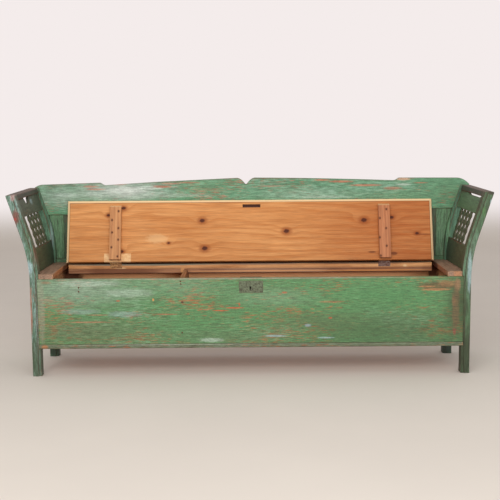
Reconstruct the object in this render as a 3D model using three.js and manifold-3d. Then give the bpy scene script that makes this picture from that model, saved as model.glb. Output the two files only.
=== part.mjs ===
// Painted pine settle bench with flared posts, fretted arms, a boarded back and a lidded box seat.
// Millimetres. X runs along the bench, Y from the front to the back, Z up from the floor.
// The origin is on the floor under the middle of the bench, and the lid stands open.

import * as THREE from 'three';
import { mergeVertices } from 'three/addons/utils/BufferGeometryUtils.js';
import Module from 'manifold-3d';

const wasm = await Module();
wasm.setup();

// Clearances
const fitGap = 0.3;
const overrun = 6;

// Posts
const footSpan = 2006;
const frontPostWidth = 40;
const frontPostDepth = 46;
const frontKneeHeight = 440;
const rearPostWidth = 44.5;
const rearPostDepth = 42;
const rearKneeHeight = 508;
const postSpacing = 386;
const kneeRadius = 620;
const flareDegrees = 18;
const kneeSteps = 8;
const armHeight = 834;
const armRise = 8;
const postCornerLength = 9;
const mouldingWidth = 14;
const mouldingDepth = 4;

// Joints between rails and posts
const tenonLength = 12;
const tenonShoulder = 4;

// Box
const rimHeight = 450;
const boxBottom = 127;
const beadHeight = 20;
const beadProud = 1;
const frontBoardInset = 3;
const frontBoardThickness = 24;
const frontBoardLap = 8;
const endBoardThickness = 18;
const endBoardSetback = 13;
const backBoardInset = 2;
const backBoardThickness = 16;
const backBoardHousing = 8;
const floorThickness = 16;
const floorBoardCount = 3;
const ledgerWidth = 20;
const partitionPlace = -313.5;
const partitionThickness = 19;
const partitionDrop = 4;

// Seat and lid
const seatThickness = 22.7;
const seatOpening = 1794;
const seatFrontInset = 4;
const railLength = 1766;
const railDepth = 87.7;
const bearerDepth = 20;
const bearerHeight = 23;
const bearerInset = 1;
const lidLength = 1778;
const lidDepth = 306;
const hingeJointGap = 1.5;
const battenWidth = 55;
const battenThickness = 20;
const battenSpacing = 1304;
const battenFrontMargin = 26;
const battenBackMargin = 10;
const battenChamfer = 9;
const strikeSlotWidth = 86;
const strikeSlotBreadth = 15;
const strikeSlotDepth = 12;
const strikeSlotPlace = 8;
const strikeSlotMargin = 24.5;

// Hinges
const hingeLength = 58;
const knuckleCount = 5;
const knuckleRadius = 4.5;
const pinRadius = 2.4;
const pinGap = 0.35;
const leafThickness = 2;
const leafHeight = 20;
const hingeSides = 16;

// Lock
const lockPlace = 2;
const lockPlateWidth = 108;
const lockPlateHeight = 54;
const lockPlateThickness = 2;
const lockPlateDrop = 13;
const keyholePlace = -1.5;
const keyholeDrop = 43;
const keyholeRadius = 4;
const keyholeSlotWidth = 5;
const keyholeSlotDrop = 11;
const keyholeSides = 12;
const lockCaseWidth = 100;
const lockCaseHeight = 58;
const lockCaseDepth = 18;
const lockCaseWall = 4;
const boltWidth = 60;
const boltThickness = 6;
const boltHeight = 44;
const boltTravel = 10;

// Back
const crestSetback = 14;
const crestThickness = 24;
const crestPostLap = 125.5;
const crestLift = 10;
const crestEndInset = 1;
const crestDipBreadth = 142;
const crestEndDrop = 32;
const crestCornerPlace = 1018;
const crestCornerRise = 7.5;
const crestStepPlace = 740;
const crestStepRise = 12.5;
const crestOgeeLength = 33;
const crestBowRise = 5;
const crestCrownRise = 24.5;
const notchPlace = -18;
const notchDepth = 30;
const notchFlat = 7;
const notchSpread = 46;
const frameSetback = 4;
const frameThickness = 18;
const stileInnerPlace = 917;
const muntinWidth = 60;
const muntinSpacing = 620;
const backRailHeight = 41;
const backRailTenon = 14;
const grooveDepth = 10;
const grooveWidth = 8;
const grooveSetback = 6;

// Arms
const armRailThickness = 24;
const armRailInset = 1;
const armPanelSetback = 8;
const armBottomRailThickness = 16;
const armBottomRailHeight = 112;
const armScallopedRailThickness = 14;
const scallopedRailHeight = 81;
const scallops = {
  left: { start: 142, end: 236, floorStart: 172, floorEnd: 202, depth: 31 },
  right: { start: 52, end: 284, floorStart: 90, floorEnd: 240, depth: 8 },
};
const armRearOutset = 6;
const splatCount = 4;
const firstSplatPlace = 150;
const splatSpacing = 53;
const splatThickness = 7;
const splatWaist = 21;
const splatBulge = 39;
const splatWaves = 4;
const splatWaveSteps = 6;
const splatTenon = 8;

// Sizes that follow
const flareAngle = THREE.MathUtils.degToRad(flareDegrees);
const overallDepth = postSpacing + rearPostDepth;
const frontFace = -overallDepth / 2;
const backFace = overallDepth / 2;
const frontPostBack = frontFace + frontPostDepth;
const rearPostFront = frontFace + postSpacing;
const footOuter = footSpan / 2;
const frontFootInner = footOuter - frontPostWidth;
const rearFootInner = footOuter - rearPostWidth;
const frontBoardFront = frontFace + frontBoardInset;
const frontBoardBack = frontBoardFront + frontBoardThickness;
const frontBoardHalf = frontFootInner + frontBoardLap;
const backBoardFront = rearPostFront + backBoardInset;
const backBoardBack = backBoardFront + backBoardThickness;
const crestFront = rearPostFront + crestSetback;
const crestBack = crestFront + crestThickness;
const frameFront = crestFront + frameSetback;
const grooveFront = frameFront + grooveSetback;
const seatBottom = rimHeight + fitGap;
const seatTop = seatBottom + seatThickness;
const seatBack = crestFront - fitGap;
const railFront = seatBack - railDepth;
const lidBack = railFront - hingeJointGap;
const lidFront = lidBack - lidDepth;
const pinY = (railFront + lidBack) / 2;
const pinZ = seatTop + fitGap + knuckleRadius;
const floorTop = boxBottom + ledgerWidth + fitGap + floorThickness;
const endBoardInner = footOuter - endBoardSetback - endBoardThickness;
const backRailBottom = rimHeight + fitGap;
const backRailTop = backRailBottom + backRailHeight;
const backRailFront = crestFront;
const strikeSlotFront = lidFront + strikeSlotMargin;
const lockPlateBottom = rimHeight - lockPlateDrop - lockPlateHeight;
const keyholeHeight = rimHeight - keyholeDrop;
const crestBottom = armHeight + armRise - crestPostLap;
const crestDipHeight = crestBottom + crestDipBreadth;
const crestCornerHeight = crestDipHeight + crestCornerRise;
const crestEndHeight = crestCornerHeight - crestEndDrop;
const crestStepHeight = crestDipHeight + crestStepRise;
const crestCrownHeight = crestDipHeight + crestCrownRise;
const notchFloor = crestCrownHeight - notchDepth;
const armRailBottom = armHeight - armRailThickness;
const scallopedRailBottom = armRailBottom - scallopedRailHeight;
const armBottomRailTop = seatTop + armBottomRailHeight;
const sides = { left: -1, right: 1 };

// Finishes
function finish(color, roughness, metalness) {
  return new THREE.MeshStandardMaterial({ color, roughness, metalness });
}
const greenPaint = () => finish(0x5f9068, 0.55, 0);
const darkGreenPaint = () => finish(0x3d5a40, 0.6, 0);
const wornPaint = () => finish(0x8a7361, 0.65, 0);
const palePine = () => finish(0xc98a4e, 0.6, 0);
const insidePine = () => finish(0xb0713f, 0.7, 0);
const agedIron = () => finish(0x5b5852, 0.55, 0.8);
const paintedIron = () => finish(0x6d7f6c, 0.6, 0.4);

const bench = new THREE.Group();
const lidGroup = new THREE.Group();
bench.add(lidGroup);

// Closed meshes are joined and cut as solids
function solidOf(geometry) {
  const plain = geometry.clone();
  plain.deleteAttribute('normal');
  plain.deleteAttribute('uv');
  const merged = mergeVertices(plain);
  const vertProperties = merged.attributes.position.array;
  const triVerts = merged.index.array;
  return new wasm.Manifold(new wasm.Mesh({ numProp: 3, vertProperties, triVerts }));
}

function geometryOf(solid) {
  const mesh = solid.getMesh();
  const geometry = new THREE.BufferGeometry();
  geometry.setAttribute('position', new THREE.BufferAttribute(mesh.vertProperties, 3));
  geometry.setIndex(new THREE.BufferAttribute(mesh.triVerts, 1));
  return geometry;
}

function cut(geometry, cutters) {
  let solid = solidOf(geometry);
  for (const cutter of cutters) {
    solid = solid.subtract(solidOf(cutter));
  }
  return geometryOf(solid);
}

function join(geometry, additions) {
  let solid = solidOf(geometry);
  for (const addition of additions) {
    solid = solid.add(solidOf(addition));
  }
  return geometryOf(solid);
}

function boxBetween(x, y, z) {
  const box = new THREE.BoxGeometry(x[1] - x[0], y[1] - y[0], z[1] - z[0]);
  return box.translate((x[0] + x[1]) / 2, (y[0] + y[1]) / 2, (z[0] + z[1]) / 2);
}

// A range of X on one side of the bench, given as distances from its middle
function sideSpan(side, near, far) {
  return side > 0 ? [near, far] : [-far, -near];
}

// A piece keeps its own centre as its origin and is placed by its position
function addPiece(name, material, geometry, parent = bench, parentPlace = new THREE.Vector3()) {
  const centre = new THREE.Vector3();
  geometry.computeBoundingBox();
  geometry.boundingBox.getCenter(centre);
  geometry.translate(-centre.x, -centre.y, -centre.z);
  geometry.computeVertexNormals();
  const mesh = new THREE.Mesh(geometry, material);
  mesh.name = name;
  mesh.position.copy(centre).sub(parentPlace);
  parent.add(mesh);
  return mesh;
}

// A post's outline leans outward above its knee. A place on it is a rise measured up its
// outer edge and an inset measured square to that edge.
class PostOutline {
  constructor(width, kneeHeight, height) {
    this.width = width;
    this.kneeHeight = kneeHeight;
    this.height = height;
  }

  pointAt(rise, inset) {
    const bend = THREE.MathUtils.clamp((rise - this.kneeHeight) / kneeRadius, 0, flareAngle);
    const below = Math.min(rise, this.kneeHeight);
    const beyond = Math.max(rise - this.kneeHeight - kneeRadius * flareAngle, 0);
    const x = footOuter + kneeRadius - (kneeRadius + inset) * Math.cos(bend) + beyond * Math.sin(bend);
    const z = below + (kneeRadius + inset) * Math.sin(bend) + beyond * Math.cos(bend);
    return new THREE.Vector2(x, z);
  }

  // The rise at which the line at this inset reaches a height
  riseAt(height, inset) {
    const radius = kneeRadius + inset;
    const kneeTop = this.kneeHeight + radius * Math.sin(flareAngle);
    if (height <= this.kneeHeight) {
      return height;
    }
    if (height <= kneeTop) {
      return this.kneeHeight + kneeRadius * Math.asin((height - this.kneeHeight) / radius);
    }
    return this.kneeHeight + kneeRadius * flareAngle + (height - kneeTop) / Math.cos(flareAngle);
  }

  placeAt(height, inset) {
    return this.pointAt(this.riseAt(height, inset), inset);
  }

  // Points along the line at one inset, between two rises, with the knee as an arc
  line(inset, lowRise, highRise) {
    const points = [this.pointAt(lowRise, inset)];
    for (let step = 0; step <= kneeSteps; step += 1) {
      const rise = this.kneeHeight + (kneeRadius * flareAngle * step) / kneeSteps;
      if (rise > lowRise && rise < highRise) {
        points.push(this.pointAt(rise, inset));
      }
    }
    points.push(this.pointAt(highRise, inset));
    return points;
  }

  // A band of the outline between two insets with level ends
  levelBand(outerInset, innerInset, lowHeight, highHeight) {
    const outer = this.line(outerInset, this.riseAt(lowHeight, outerInset), this.riseAt(highHeight, outerInset));
    const inner = this.line(innerInset, this.riseAt(lowHeight, innerInset), this.riseAt(highHeight, innerInset));
    return outer.concat(inner.reverse());
  }

  // A band with a level lower end and an upper end square to the slope
  squareTopBand(outerInset, innerInset, lowHeight, highRise) {
    const outer = this.line(outerInset, this.riseAt(lowHeight, outerInset), highRise);
    const inner = this.line(innerInset, this.riseAt(lowHeight, innerInset), highRise);
    return outer.concat(inner.reverse());
  }

  // A band with both ends square to the slope
  squareBand(outerInset, innerInset, lowRise, highRise) {
    return this.line(outerInset, lowRise, highRise).concat(this.line(innerInset, lowRise, highRise).reverse());
  }
}

const frontOutline = new PostOutline(frontPostWidth, frontKneeHeight, armHeight);
const rearOutline = new PostOutline(rearPostWidth, rearKneeHeight, armHeight + armRise);

// An XZ outline on one side of the bench, made as deep as the range of Y
function extrudeBand(points, side, y) {
  const outline = points.map((point) => new THREE.Vector2(side * point.x, point.y));
  return extrudeAlongY(new THREE.Shape(outline), y);
}

function extrudeAlongY(shape, y, curveSegments = 1) {
  const settings = { depth: y[1] - y[0], bevelEnabled: false, curveSegments };
  const geometry = new THREE.ExtrudeGeometry(shape, settings);
  return geometry.rotateX(Math.PI / 2).translate(0, y[1], 0);
}

// The back's crest rises from the bench's left end to its right end
function leanAt(x) {
  return (crestLift * x) / crestCornerPlace;
}

// A box whose lower and upper faces follow the crest's lean
function leaningBox(x, y, low, high) {
  const points = [[x[0], low], [x[1], low], [x[1], high], [x[0], high]];
  return extrudeAlongY(new THREE.Shape(points.map((point) => leaningPoint(...point))), y);
}

// A box with a level foot and a top that follows the crest's lean
function leaningTopBox(x, y, low, high) {
  const foot = [new THREE.Vector2(x[0], low), new THREE.Vector2(x[1], low)];
  const top = [leaningPoint(x[1], high), leaningPoint(x[0], high)];
  return extrudeAlongY(new THREE.Shape([...foot, ...top]), y);
}

function leaningPoint(x, z) {
  return new THREE.Vector2(x, z + leanAt(x));
}

// Each arm is drawn straight and level back from its front post. Then it is narrowed to the
// rear post and raised along the slope there.
const armTaperTop = scallopedRailBottom + 2 * splatTenon;
const armTaperLow = armTaperAt(seatTop);
const armTaperHigh = armTaperAt(armTaperTop) - armRearOutset;

function armTaperAt(height) {
  return frontOutline.placeAt(height, frontPostWidth).x - rearOutline.placeAt(height, rearPostWidth).x;
}

function taperArm(geometry, side) {
  const place = geometry.attributes.position;
  for (let index = 0; index < place.count; index += 1) {
    const share = (place.getY(index) - frontPostBack) / (rearPostFront - frontPostBack);
    const reach = (place.getZ(index) - seatTop) / (armTaperTop - seatTop);
    const climb = THREE.MathUtils.clamp(reach, 0, 1);
    const taper = THREE.MathUtils.lerp(armTaperLow, armTaperHigh, climb);
    const lift = armRise * share * climb;
    place.setX(index, place.getX(index) + side * (lift * Math.tan(flareAngle) - share * taper));
    place.setZ(index, place.getZ(index) + lift);
  }
  return geometry;
}

// Rails between a front and a rear post
const armPanelInset = frontPostWidth - armPanelSetback;
const armBottomRailRise = frontOutline.riseAt(armBottomRailTop, armPanelInset);
const scallopLowRise = frontOutline.riseAt(scallopedRailBottom, armPanelInset);
const scallopHighRise = frontOutline.riseAt(armRailBottom - fitGap, armPanelInset);

const sideRails = {
  box_end_board: {
    body: () => frontOutline.levelBand(
      endBoardSetback,
      endBoardSetback + endBoardThickness,
      boxBottom,
      rimHeight,
    ),
    tenon: (gap) => frontOutline.levelBand(
      endBoardSetback + tenonShoulder - gap,
      endBoardSetback + endBoardThickness - tenonShoulder + gap,
      boxBottom + tenonShoulder - gap,
      rimHeight - tenonShoulder + gap,
    ),
    material: greenPaint,
  },
  arm_bottom_rail: {
    body: () => frontOutline.squareTopBand(
      armPanelInset - armBottomRailThickness,
      armPanelInset,
      seatTop + fitGap,
      armBottomRailRise,
    ),
    tenon: (gap) => frontOutline.squareTopBand(
      armPanelInset - armBottomRailThickness + tenonShoulder - gap,
      armPanelInset - tenonShoulder + gap,
      seatTop + fitGap + tenonShoulder - gap,
      armBottomRailRise - tenonShoulder + gap,
    ),
    material: darkGreenPaint,
  },
  arm_rail: {
    body: () => frontOutline.levelBand(
      armRailInset,
      frontPostWidth - armRailInset,
      armRailBottom,
      armHeight,
    ),
    tenon: (gap) => frontOutline.levelBand(
      armRailInset + tenonLength - gap,
      frontPostWidth - armRailInset - tenonLength + gap,
      armRailBottom + tenonShoulder - gap,
      armHeight - tenonShoulder + gap,
    ),
    material: wornPaint,
  },
};

function scallopedTenon(gap) {
  return frontOutline.squareBand(
    armPanelInset - armScallopedRailThickness + tenonShoulder - gap,
    armPanelInset - tenonShoulder + gap,
    scallopLowRise + tenonShoulder - gap,
    scallopLowRise + (scallopHighRise - scallopLowRise) / 2 + gap,
  );
}

// Posts
function postShape(outline, side) {
  const outer = outline.line(0, 0, outline.riseAt(outline.height, 0) - postCornerLength);
  const corner = outline.placeAt(outline.height, 0);
  const inner = outline.line(outline.width, 0, outline.riseAt(outline.height, outline.width)).reverse();
  const shape = new THREE.Shape();
  shape.moveTo(side * outer[0].x, outer[0].y);
  for (const point of outer.slice(1)) {
    shape.lineTo(side * point.x, point.y);
  }
  shape.quadraticCurveTo(side * corner.x, corner.y, side * (corner.x - postCornerLength), corner.y);
  for (const point of inner) {
    shape.lineTo(side * point.x, point.y);
  }
  return shape;
}

function postMoulding(outline, side, faceY) {
  const inner = outline.width + overrun;
  const band = outline.levelBand(outline.width - mouldingWidth, inner, -overrun, outline.height + overrun);
  return extrudeBand(band, side, [faceY - overrun, faceY + mouldingDepth]);
}

// The box end boards run straight back and the arm's rails taper
function sideRailMortises(side, y) {
  const straight = extrudeBand(sideRails.box_end_board.tenon(fitGap), side, y);
  const bands = [sideRails.arm_bottom_rail.tenon(fitGap), sideRails.arm_rail.tenon(fitGap), scallopedTenon(fitGap)];
  return [straight, ...bands.map((band) => taperArm(extrudeBand(band, side, y), side))];
}

function addFrontPost(label, side) {
  const blank = extrudeAlongY(postShape(frontOutline, side), [frontFace, frontPostBack], kneeSteps);
  const lap = boxBetween(
    sideSpan(side, frontFootInner - overrun, frontBoardHalf + fitGap),
    [frontFace - overrun, frontBoardBack + fitGap],
    [boxBottom - fitGap, rimHeight + fitGap],
  );
  const mortises = sideRailMortises(side, [frontPostBack - tenonLength - fitGap, frontPostBack + overrun]);
  const geometry = cut(blank, [postMoulding(frontOutline, side, frontFace), lap, ...mortises]);
  addPiece(`front_post_${label}`, greenPaint(), geometry);
}

function addRearPost(label, side) {
  const blank = extrudeAlongY(postShape(rearOutline, side), [rearPostFront, backFace], kneeSteps);
  const mortises = sideRailMortises(side, [rearPostFront - overrun, rearPostFront + tenonLength + fitGap]);
  const crestNotch = leaningBox(
    sideSpan(side, rearFootInner - overrun, crestCornerPlace + rearPostWidth * 2),
    [crestFront - fitGap, backFace + overrun],
    crestBottom - fitGap,
    rearOutline.height + crestLift * 2,
  );
  const backBoardHousingCut = boxBetween(
    sideSpan(side, rearFootInner - overrun, rearFootInner + backBoardHousing + fitGap),
    [backBoardFront - fitGap, backBoardBack + fitGap],
    [boxBottom - fitGap, rimHeight + fitGap],
  );
  const backRailMortise = boxBetween(
    sideSpan(side, rearFootInner - overrun, rearFootInner + backRailTenon + fitGap),
    [frameFront - fitGap, frameFront + frameThickness - tenonShoulder + fitGap],
    [backRailBottom + tenonShoulder - fitGap, backRailTop - tenonShoulder + fitGap],
  );
  const moulding = postMoulding(rearOutline, side, rearPostFront);
  const geometry = cut(blank, [moulding, crestNotch, backBoardHousingCut, backRailMortise, ...mortises]);
  addPiece(`rear_post_${label}`, greenPaint(), geometry);
}

function addSideRail(name, label, side) {
  const rail = sideRails[name];
  const body = extrudeBand(rail.body(), side, [frontPostBack + fitGap, rearPostFront - fitGap]);
  const tenonY = [frontPostBack - tenonLength, rearPostFront + tenonLength];
  const tenons = extrudeBand(rail.tenon(0), side, tenonY);
  let geometry = join(body, [tenons]);
  if (name !== 'box_end_board') {
    geometry = taperArm(geometry, side);
  }
  if (name === 'arm_bottom_rail') {
    geometry = cut(geometry, splatMortises(side));
  }
  addPiece(`${name}_${label}`, rail.material(), geometry);
}

// Fretwork of each arm, drawn flat as distance along Y and rise up the slope
const fretStart = frontPostBack + fitGap;
const fretEnd = rearPostFront - fitGap;
const splatLowRise = armBottomRailRise + fitGap;
const splatHighRise = scallopLowRise - fitGap;

function splatCentre(index) {
  return frontFace + firstSplatPlace + splatSpacing * index;
}

// A flat outline in the slope's plane becomes a board between two insets
function extrudeOnSlope(shape, side, outerInset, innerInset) {
  const settings = { depth: innerInset - outerInset, bevelEnabled: false, curveSegments: kneeSteps };
  const geometry = new THREE.ExtrudeGeometry(shape, settings);
  const along = new THREE.Vector3(0, 1, 0);
  const up = new THREE.Vector3(side * Math.sin(flareAngle), 0, Math.cos(flareAngle));
  const normal = new THREE.Vector3().crossVectors(along, up);
  const startInset = side > 0 ? innerInset : outerInset;
  const foot = frontOutline.pointAt(scallopLowRise, startInset);
  const placing = new THREE.Matrix4().makeBasis(along, up, normal);
  placing.setPosition(side * foot.x, 0, foot.y);
  return taperArm(geometry.applyMatrix4(placing), side);
}

// Rises are counted from the scalloped rail's lower edge, where the slope's frame stands
function scallopedShape(scallop) {
  const shape = new THREE.Shape();
  const height = scallopHighRise - scallopLowRise;
  const floor = height - scallop.depth;
  const start = frontFace + scallop.start;
  const end = frontFace + scallop.end;
  const floorStart = frontFace + scallop.floorStart;
  const floorEnd = frontFace + scallop.floorEnd;
  shape.moveTo(fretStart, 0);
  shape.lineTo(fretEnd, 0);
  shape.lineTo(fretEnd, height);
  shape.lineTo(end, height);
  shape.bezierCurveTo((end + floorEnd) / 2, height, (end + floorEnd) / 2, floor, floorEnd, floor);
  shape.lineTo(floorStart, floor);
  shape.bezierCurveTo((start + floorStart) / 2, floor, (start + floorStart) / 2, height, start, height);
  shape.lineTo(fretStart, height);
  shape.closePath();
  return shape;
}

function rectangle(lowY, highY, low, high) {
  const shape = new THREE.Shape();
  shape.moveTo(lowY, low);
  shape.lineTo(highY, low);
  shape.lineTo(highY, high);
  shape.lineTo(lowY, high);
  shape.closePath();
  return shape;
}

function addScallopedRail(label, side) {
  const outer = armPanelInset - armScallopedRailThickness;
  const body = extrudeOnSlope(scallopedShape(scallops[label]), side, outer, armPanelInset);
  const tenonY = [frontPostBack - tenonLength, rearPostFront + tenonLength];
  const tenons = taperArm(extrudeBand(scallopedTenon(0), side, tenonY), side);
  const geometry = cut(join(body, [tenons]), splatMortises(side));
  addPiece(`arm_scalloped_rail_${label}`, darkGreenPaint(), geometry);
}

const splatInner = armPanelInset - tenonShoulder;
const splatOuter = splatInner - splatThickness;
const splatFrameLow = splatLowRise - scallopLowRise;
const splatFrameHigh = splatHighRise - scallopLowRise;

function splatMortises(side) {
  const cutters = [];
  for (let index = 0; index < splatCount; index += 1) {
    const near = splatCentre(index) - splatWaist / 2 - fitGap;
    const far = splatCentre(index) + splatWaist / 2 + fitGap;
    const low = splatFrameLow - splatTenon - fitGap;
    const high = splatFrameHigh + splatTenon + fitGap;
    const shape = rectangle(near, far, low, high);
    cutters.push(extrudeOnSlope(shape, side, splatOuter - fitGap, splatInner + fitGap));
  }
  return cutters;
}

// A splat's edges swell and narrow in even waves between its two tenons
function splatShape(index) {
  const centre = splatCentre(index);
  const steps = splatWaves * splatWaveSteps;
  const front = [];
  const back = [];
  for (let step = 0; step <= steps; step += 1) {
    const swell = (1 - Math.cos((2 * Math.PI * step) / splatWaveSteps)) / 2;
    const half = (splatWaist + (splatBulge - splatWaist) * swell) / 2;
    const rise = splatFrameLow + ((splatFrameHigh - splatFrameLow) * step) / steps;
    front.push(new THREE.Vector2(centre - half, rise));
    back.push(new THREE.Vector2(centre + half, rise));
  }
  front.unshift(new THREE.Vector2(centre - splatWaist / 2, splatFrameLow - splatTenon));
  back.unshift(new THREE.Vector2(centre + splatWaist / 2, splatFrameLow - splatTenon));
  front.push(new THREE.Vector2(centre - splatWaist / 2, splatFrameHigh + splatTenon));
  back.push(new THREE.Vector2(centre + splatWaist / 2, splatFrameHigh + splatTenon));
  return new THREE.Shape(back.concat(front.reverse()));
}

function addSplats(label, side) {
  for (let index = 0; index < splatCount; index += 1) {
    const geometry = extrudeOnSlope(splatShape(index), side, splatOuter, splatInner);
    addPiece(`arm_splat_${label}_${index + 1}`, darkGreenPaint(), geometry);
  }
}

for (const [label, side] of Object.entries(sides)) {
  addFrontPost(label, side);
  addRearPost(label, side);
  for (const name of Object.keys(sideRails)) {
    addSideRail(name, label, side);
  }
  addScallopedRail(label, side);
  addSplats(label, side);
}

// Box: front, bead, back, floor, ledgers and partition
function keyholeCutter(y) {
  const round = new THREE.CylinderGeometry(keyholeRadius, keyholeRadius, y[1] - y[0], keyholeSides);
  round.translate(keyholePlace, (y[0] + y[1]) / 2, keyholeHeight);
  const slot = boxBetween(
    [keyholePlace - keyholeSlotWidth / 2, keyholePlace + keyholeSlotWidth / 2],
    y,
    [keyholeHeight - keyholeSlotDrop, keyholeHeight],
  );
  return join(round, [slot]);
}

function addFrontBoard() {
  const board = boxBetween(
    [-frontBoardHalf, frontBoardHalf],
    [frontBoardFront, frontBoardBack],
    [boxBottom + beadHeight + fitGap, rimHeight],
  );
  const plateRecess = boxBetween(
    [lockPlace - lockPlateWidth / 2 - fitGap, lockPlace + lockPlateWidth / 2 + fitGap],
    [frontBoardFront - overrun, frontBoardFront + lockPlateThickness + fitGap],
    [lockPlateBottom - fitGap, lockPlateBottom + lockPlateHeight + fitGap],
  );
  const keyhole = keyholeCutter([frontBoardFront - overrun, frontBoardBack + overrun]);
  addPiece('front_board', greenPaint(), cut(board, [plateRecess, keyhole]));
}

function addBead() {
  const bead = boxBetween(
    [-frontBoardHalf, frontBoardHalf],
    [frontBoardFront - beadProud, frontBoardBack],
    [boxBottom, boxBottom + beadHeight],
  );
  addPiece('front_bottom_bead', greenPaint(), bead);
}

function addBackBoard() {
  const half = rearFootInner + backBoardHousing;
  const board = boxBetween([-half, half], [backBoardFront, backBoardBack], [boxBottom, rimHeight]);
  addPiece('box_back_board', insidePine(), board);
}

const insideFront = frontBoardBack + fitGap;
const insideBack = backBoardFront - fitGap;
const floorBottom = boxBottom + ledgerWidth + fitGap;

function postCorners() {
  const cutters = [];
  for (const side of Object.values(sides)) {
    const z = [floorBottom - overrun, floorTop + overrun];
    const frontX = sideSpan(side, frontFootInner - fitGap, footOuter + overrun);
    const rearX = sideSpan(side, rearFootInner - fitGap, footOuter + overrun);
    cutters.push(boxBetween(frontX, [frontFace - overrun, frontPostBack + fitGap], z));
    cutters.push(boxBetween(rearX, [rearPostFront - fitGap, backFace + overrun], z));
  }
  return cutters;
}

function addFloor() {
  const pitch = (insideBack - insideFront + fitGap) / floorBoardCount;
  const half = endBoardInner - fitGap;
  for (let index = 0; index < floorBoardCount; index += 1) {
    const near = insideFront + pitch * index;
    const board = boxBetween([-half, half], [near, near + pitch - fitGap], [floorBottom, floorTop]);
    addPiece(`floor_board_${index + 1}`, insidePine(), cut(board, postCorners()));
  }
}

function addLedgers() {
  const half = rearFootInner - fitGap;
  const z = [boxBottom, boxBottom + ledgerWidth];
  const front = boxBetween([-half, half], [insideFront, insideFront + ledgerWidth], z);
  const back = boxBetween([-half, half], [insideBack - ledgerWidth, insideBack], z);
  addPiece('floor_ledger_front', insidePine(), front);
  addPiece('floor_ledger_back', insidePine(), back);
}

function addPartition() {
  const x = [partitionPlace - partitionThickness / 2, partitionPlace + partitionThickness / 2];
  const board = boxBetween(x, [insideFront, insideBack], [floorTop + fitGap, rimHeight - partitionDrop]);
  const bearerNotch = boxBetween(
    [x[0] - overrun, x[1] + overrun],
    [railFront + bearerInset - fitGap, insideBack + overrun],
    [seatBottom - fitGap - bearerHeight - fitGap, rimHeight + overrun],
  );
  addPiece('partition', insidePine(), cut(board, [bearerNotch]));
}

addFrontBoard();
addBead();
addBackBoard();
addFloor();
addLedgers();
addPartition();

// Seat: fixed end boards, hinge rail and its bearer
function addSeatEndBoard(label, side) {
  const board = boxBetween(
    sideSpan(side, seatOpening / 2, footOuter - endBoardSetback),
    [frontFace + seatFrontInset, seatBack],
    [seatBottom, seatTop],
  );
  const around = (post) => post.levelBand(-overrun, post.width + fitGap, seatBottom - overrun, seatTop + overrun);
  const frontNotch = extrudeBand(around(frontOutline), side, [frontFace - overrun, frontPostBack + fitGap]);
  const rearNotch = extrudeBand(around(rearOutline), side, [rearPostFront - fitGap, backFace + overrun]);
  addPiece(`seat_end_board_${label}`, wornPaint(), cut(board, [frontNotch, rearNotch]));
}

function hingeCentres() {
  return Object.entries(sides).map(([label, side]) => ({ label, x: (side * battenSpacing) / 2 }));
}

function leafRecess(x, y) {
  return boxBetween(
    [x - hingeLength / 2 - fitGap, x + hingeLength / 2 + fitGap],
    y,
    [seatTop - leafHeight - fitGap, seatTop + overrun],
  );
}

function addHingeRail() {
  const rail = boxBetween([-railLength / 2, railLength / 2], [railFront, seatBack], [seatBottom, seatTop]);
  const recessY = [railFront - overrun, railFront + leafThickness + fitGap];
  const recesses = hingeCentres().map((hinge) => leafRecess(hinge.x, recessY));
  addPiece('hinge_rail', insidePine(), cut(rail, recesses));
}

function addBearer() {
  const top = seatBottom - fitGap;
  const y = [railFront + bearerInset, railFront + bearerInset + bearerDepth];
  const bearer = boxBetween([-railLength / 2, railLength / 2], y, [top - bearerHeight, top]);
  addPiece('hinge_rail_bearer', insidePine(), bearer);
}

addSeatEndBoard('left', sides.left);
addSeatEndBoard('right', sides.right);
addHingeRail();
addBearer();

// Hinges: each leaf carries every other knuckle around one pin along X
function cylinderAlongX(radius, from, to) {
  const cylinder = new THREE.CylinderGeometry(radius, radius, to - from, hingeSides);
  return cylinder.rotateZ(Math.PI / 2).translate((from + to) / 2, pinY, pinZ);
}

function leafGeometry(x, plateY, firstKnuckle) {
  const start = x - hingeLength / 2;
  const pitch = hingeLength / knuckleCount;
  const plate = boxBetween([start, start + hingeLength], plateY, [seatTop - leafHeight, seatTop]);
  const additions = [];
  for (let index = firstKnuckle; index < knuckleCount; index += 2) {
    const from = start + pitch * index + fitGap / 2;
    const to = start + pitch * (index + 1) - fitGap / 2;
    additions.push(boxBetween([from, to], plateY, [seatTop - leafThickness, pinZ]));
    additions.push(cylinderAlongX(knuckleRadius, from, to));
  }
  const bore = cylinderAlongX(pinRadius + pinGap, start - overrun, start + hingeLength + overrun);
  return cut(join(plate, additions), [bore]);
}

const lidOpening = openAngle();
const pinPlace = new THREE.Vector3(0, pinY, pinZ);
lidGroup.position.copy(pinPlace);
lidGroup.rotation.x = -lidOpening;

// The lid opens until the back of its free edge is a fit gap from the crest rail
function openAngle() {
  const reach = pinY - lidFront;
  const drop = pinZ - seatTop;
  const length = Math.hypot(reach, drop);
  const lean = Math.asin((crestFront - fitGap - pinY) / length) + Math.atan2(drop, reach);
  return Math.PI / 2 + lean;
}

for (const { label, x } of hingeCentres()) {
  const railLeafY = [railFront, railFront + leafThickness];
  const lidLeafY = [lidBack - leafThickness, lidBack];
  addPiece(`hinge_rail_leaf_${label}`, agedIron(), leafGeometry(x, railLeafY, 0));
  addPiece(`hinge_lid_leaf_${label}`, agedIron(), leafGeometry(x, lidLeafY, 1), lidGroup, pinPlace);
  const pin = cylinderAlongX(pinRadius, x - hingeLength / 2, x + hingeLength / 2);
  addPiece(`hinge_pin_${label}`, agedIron(), pin);
}

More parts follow.
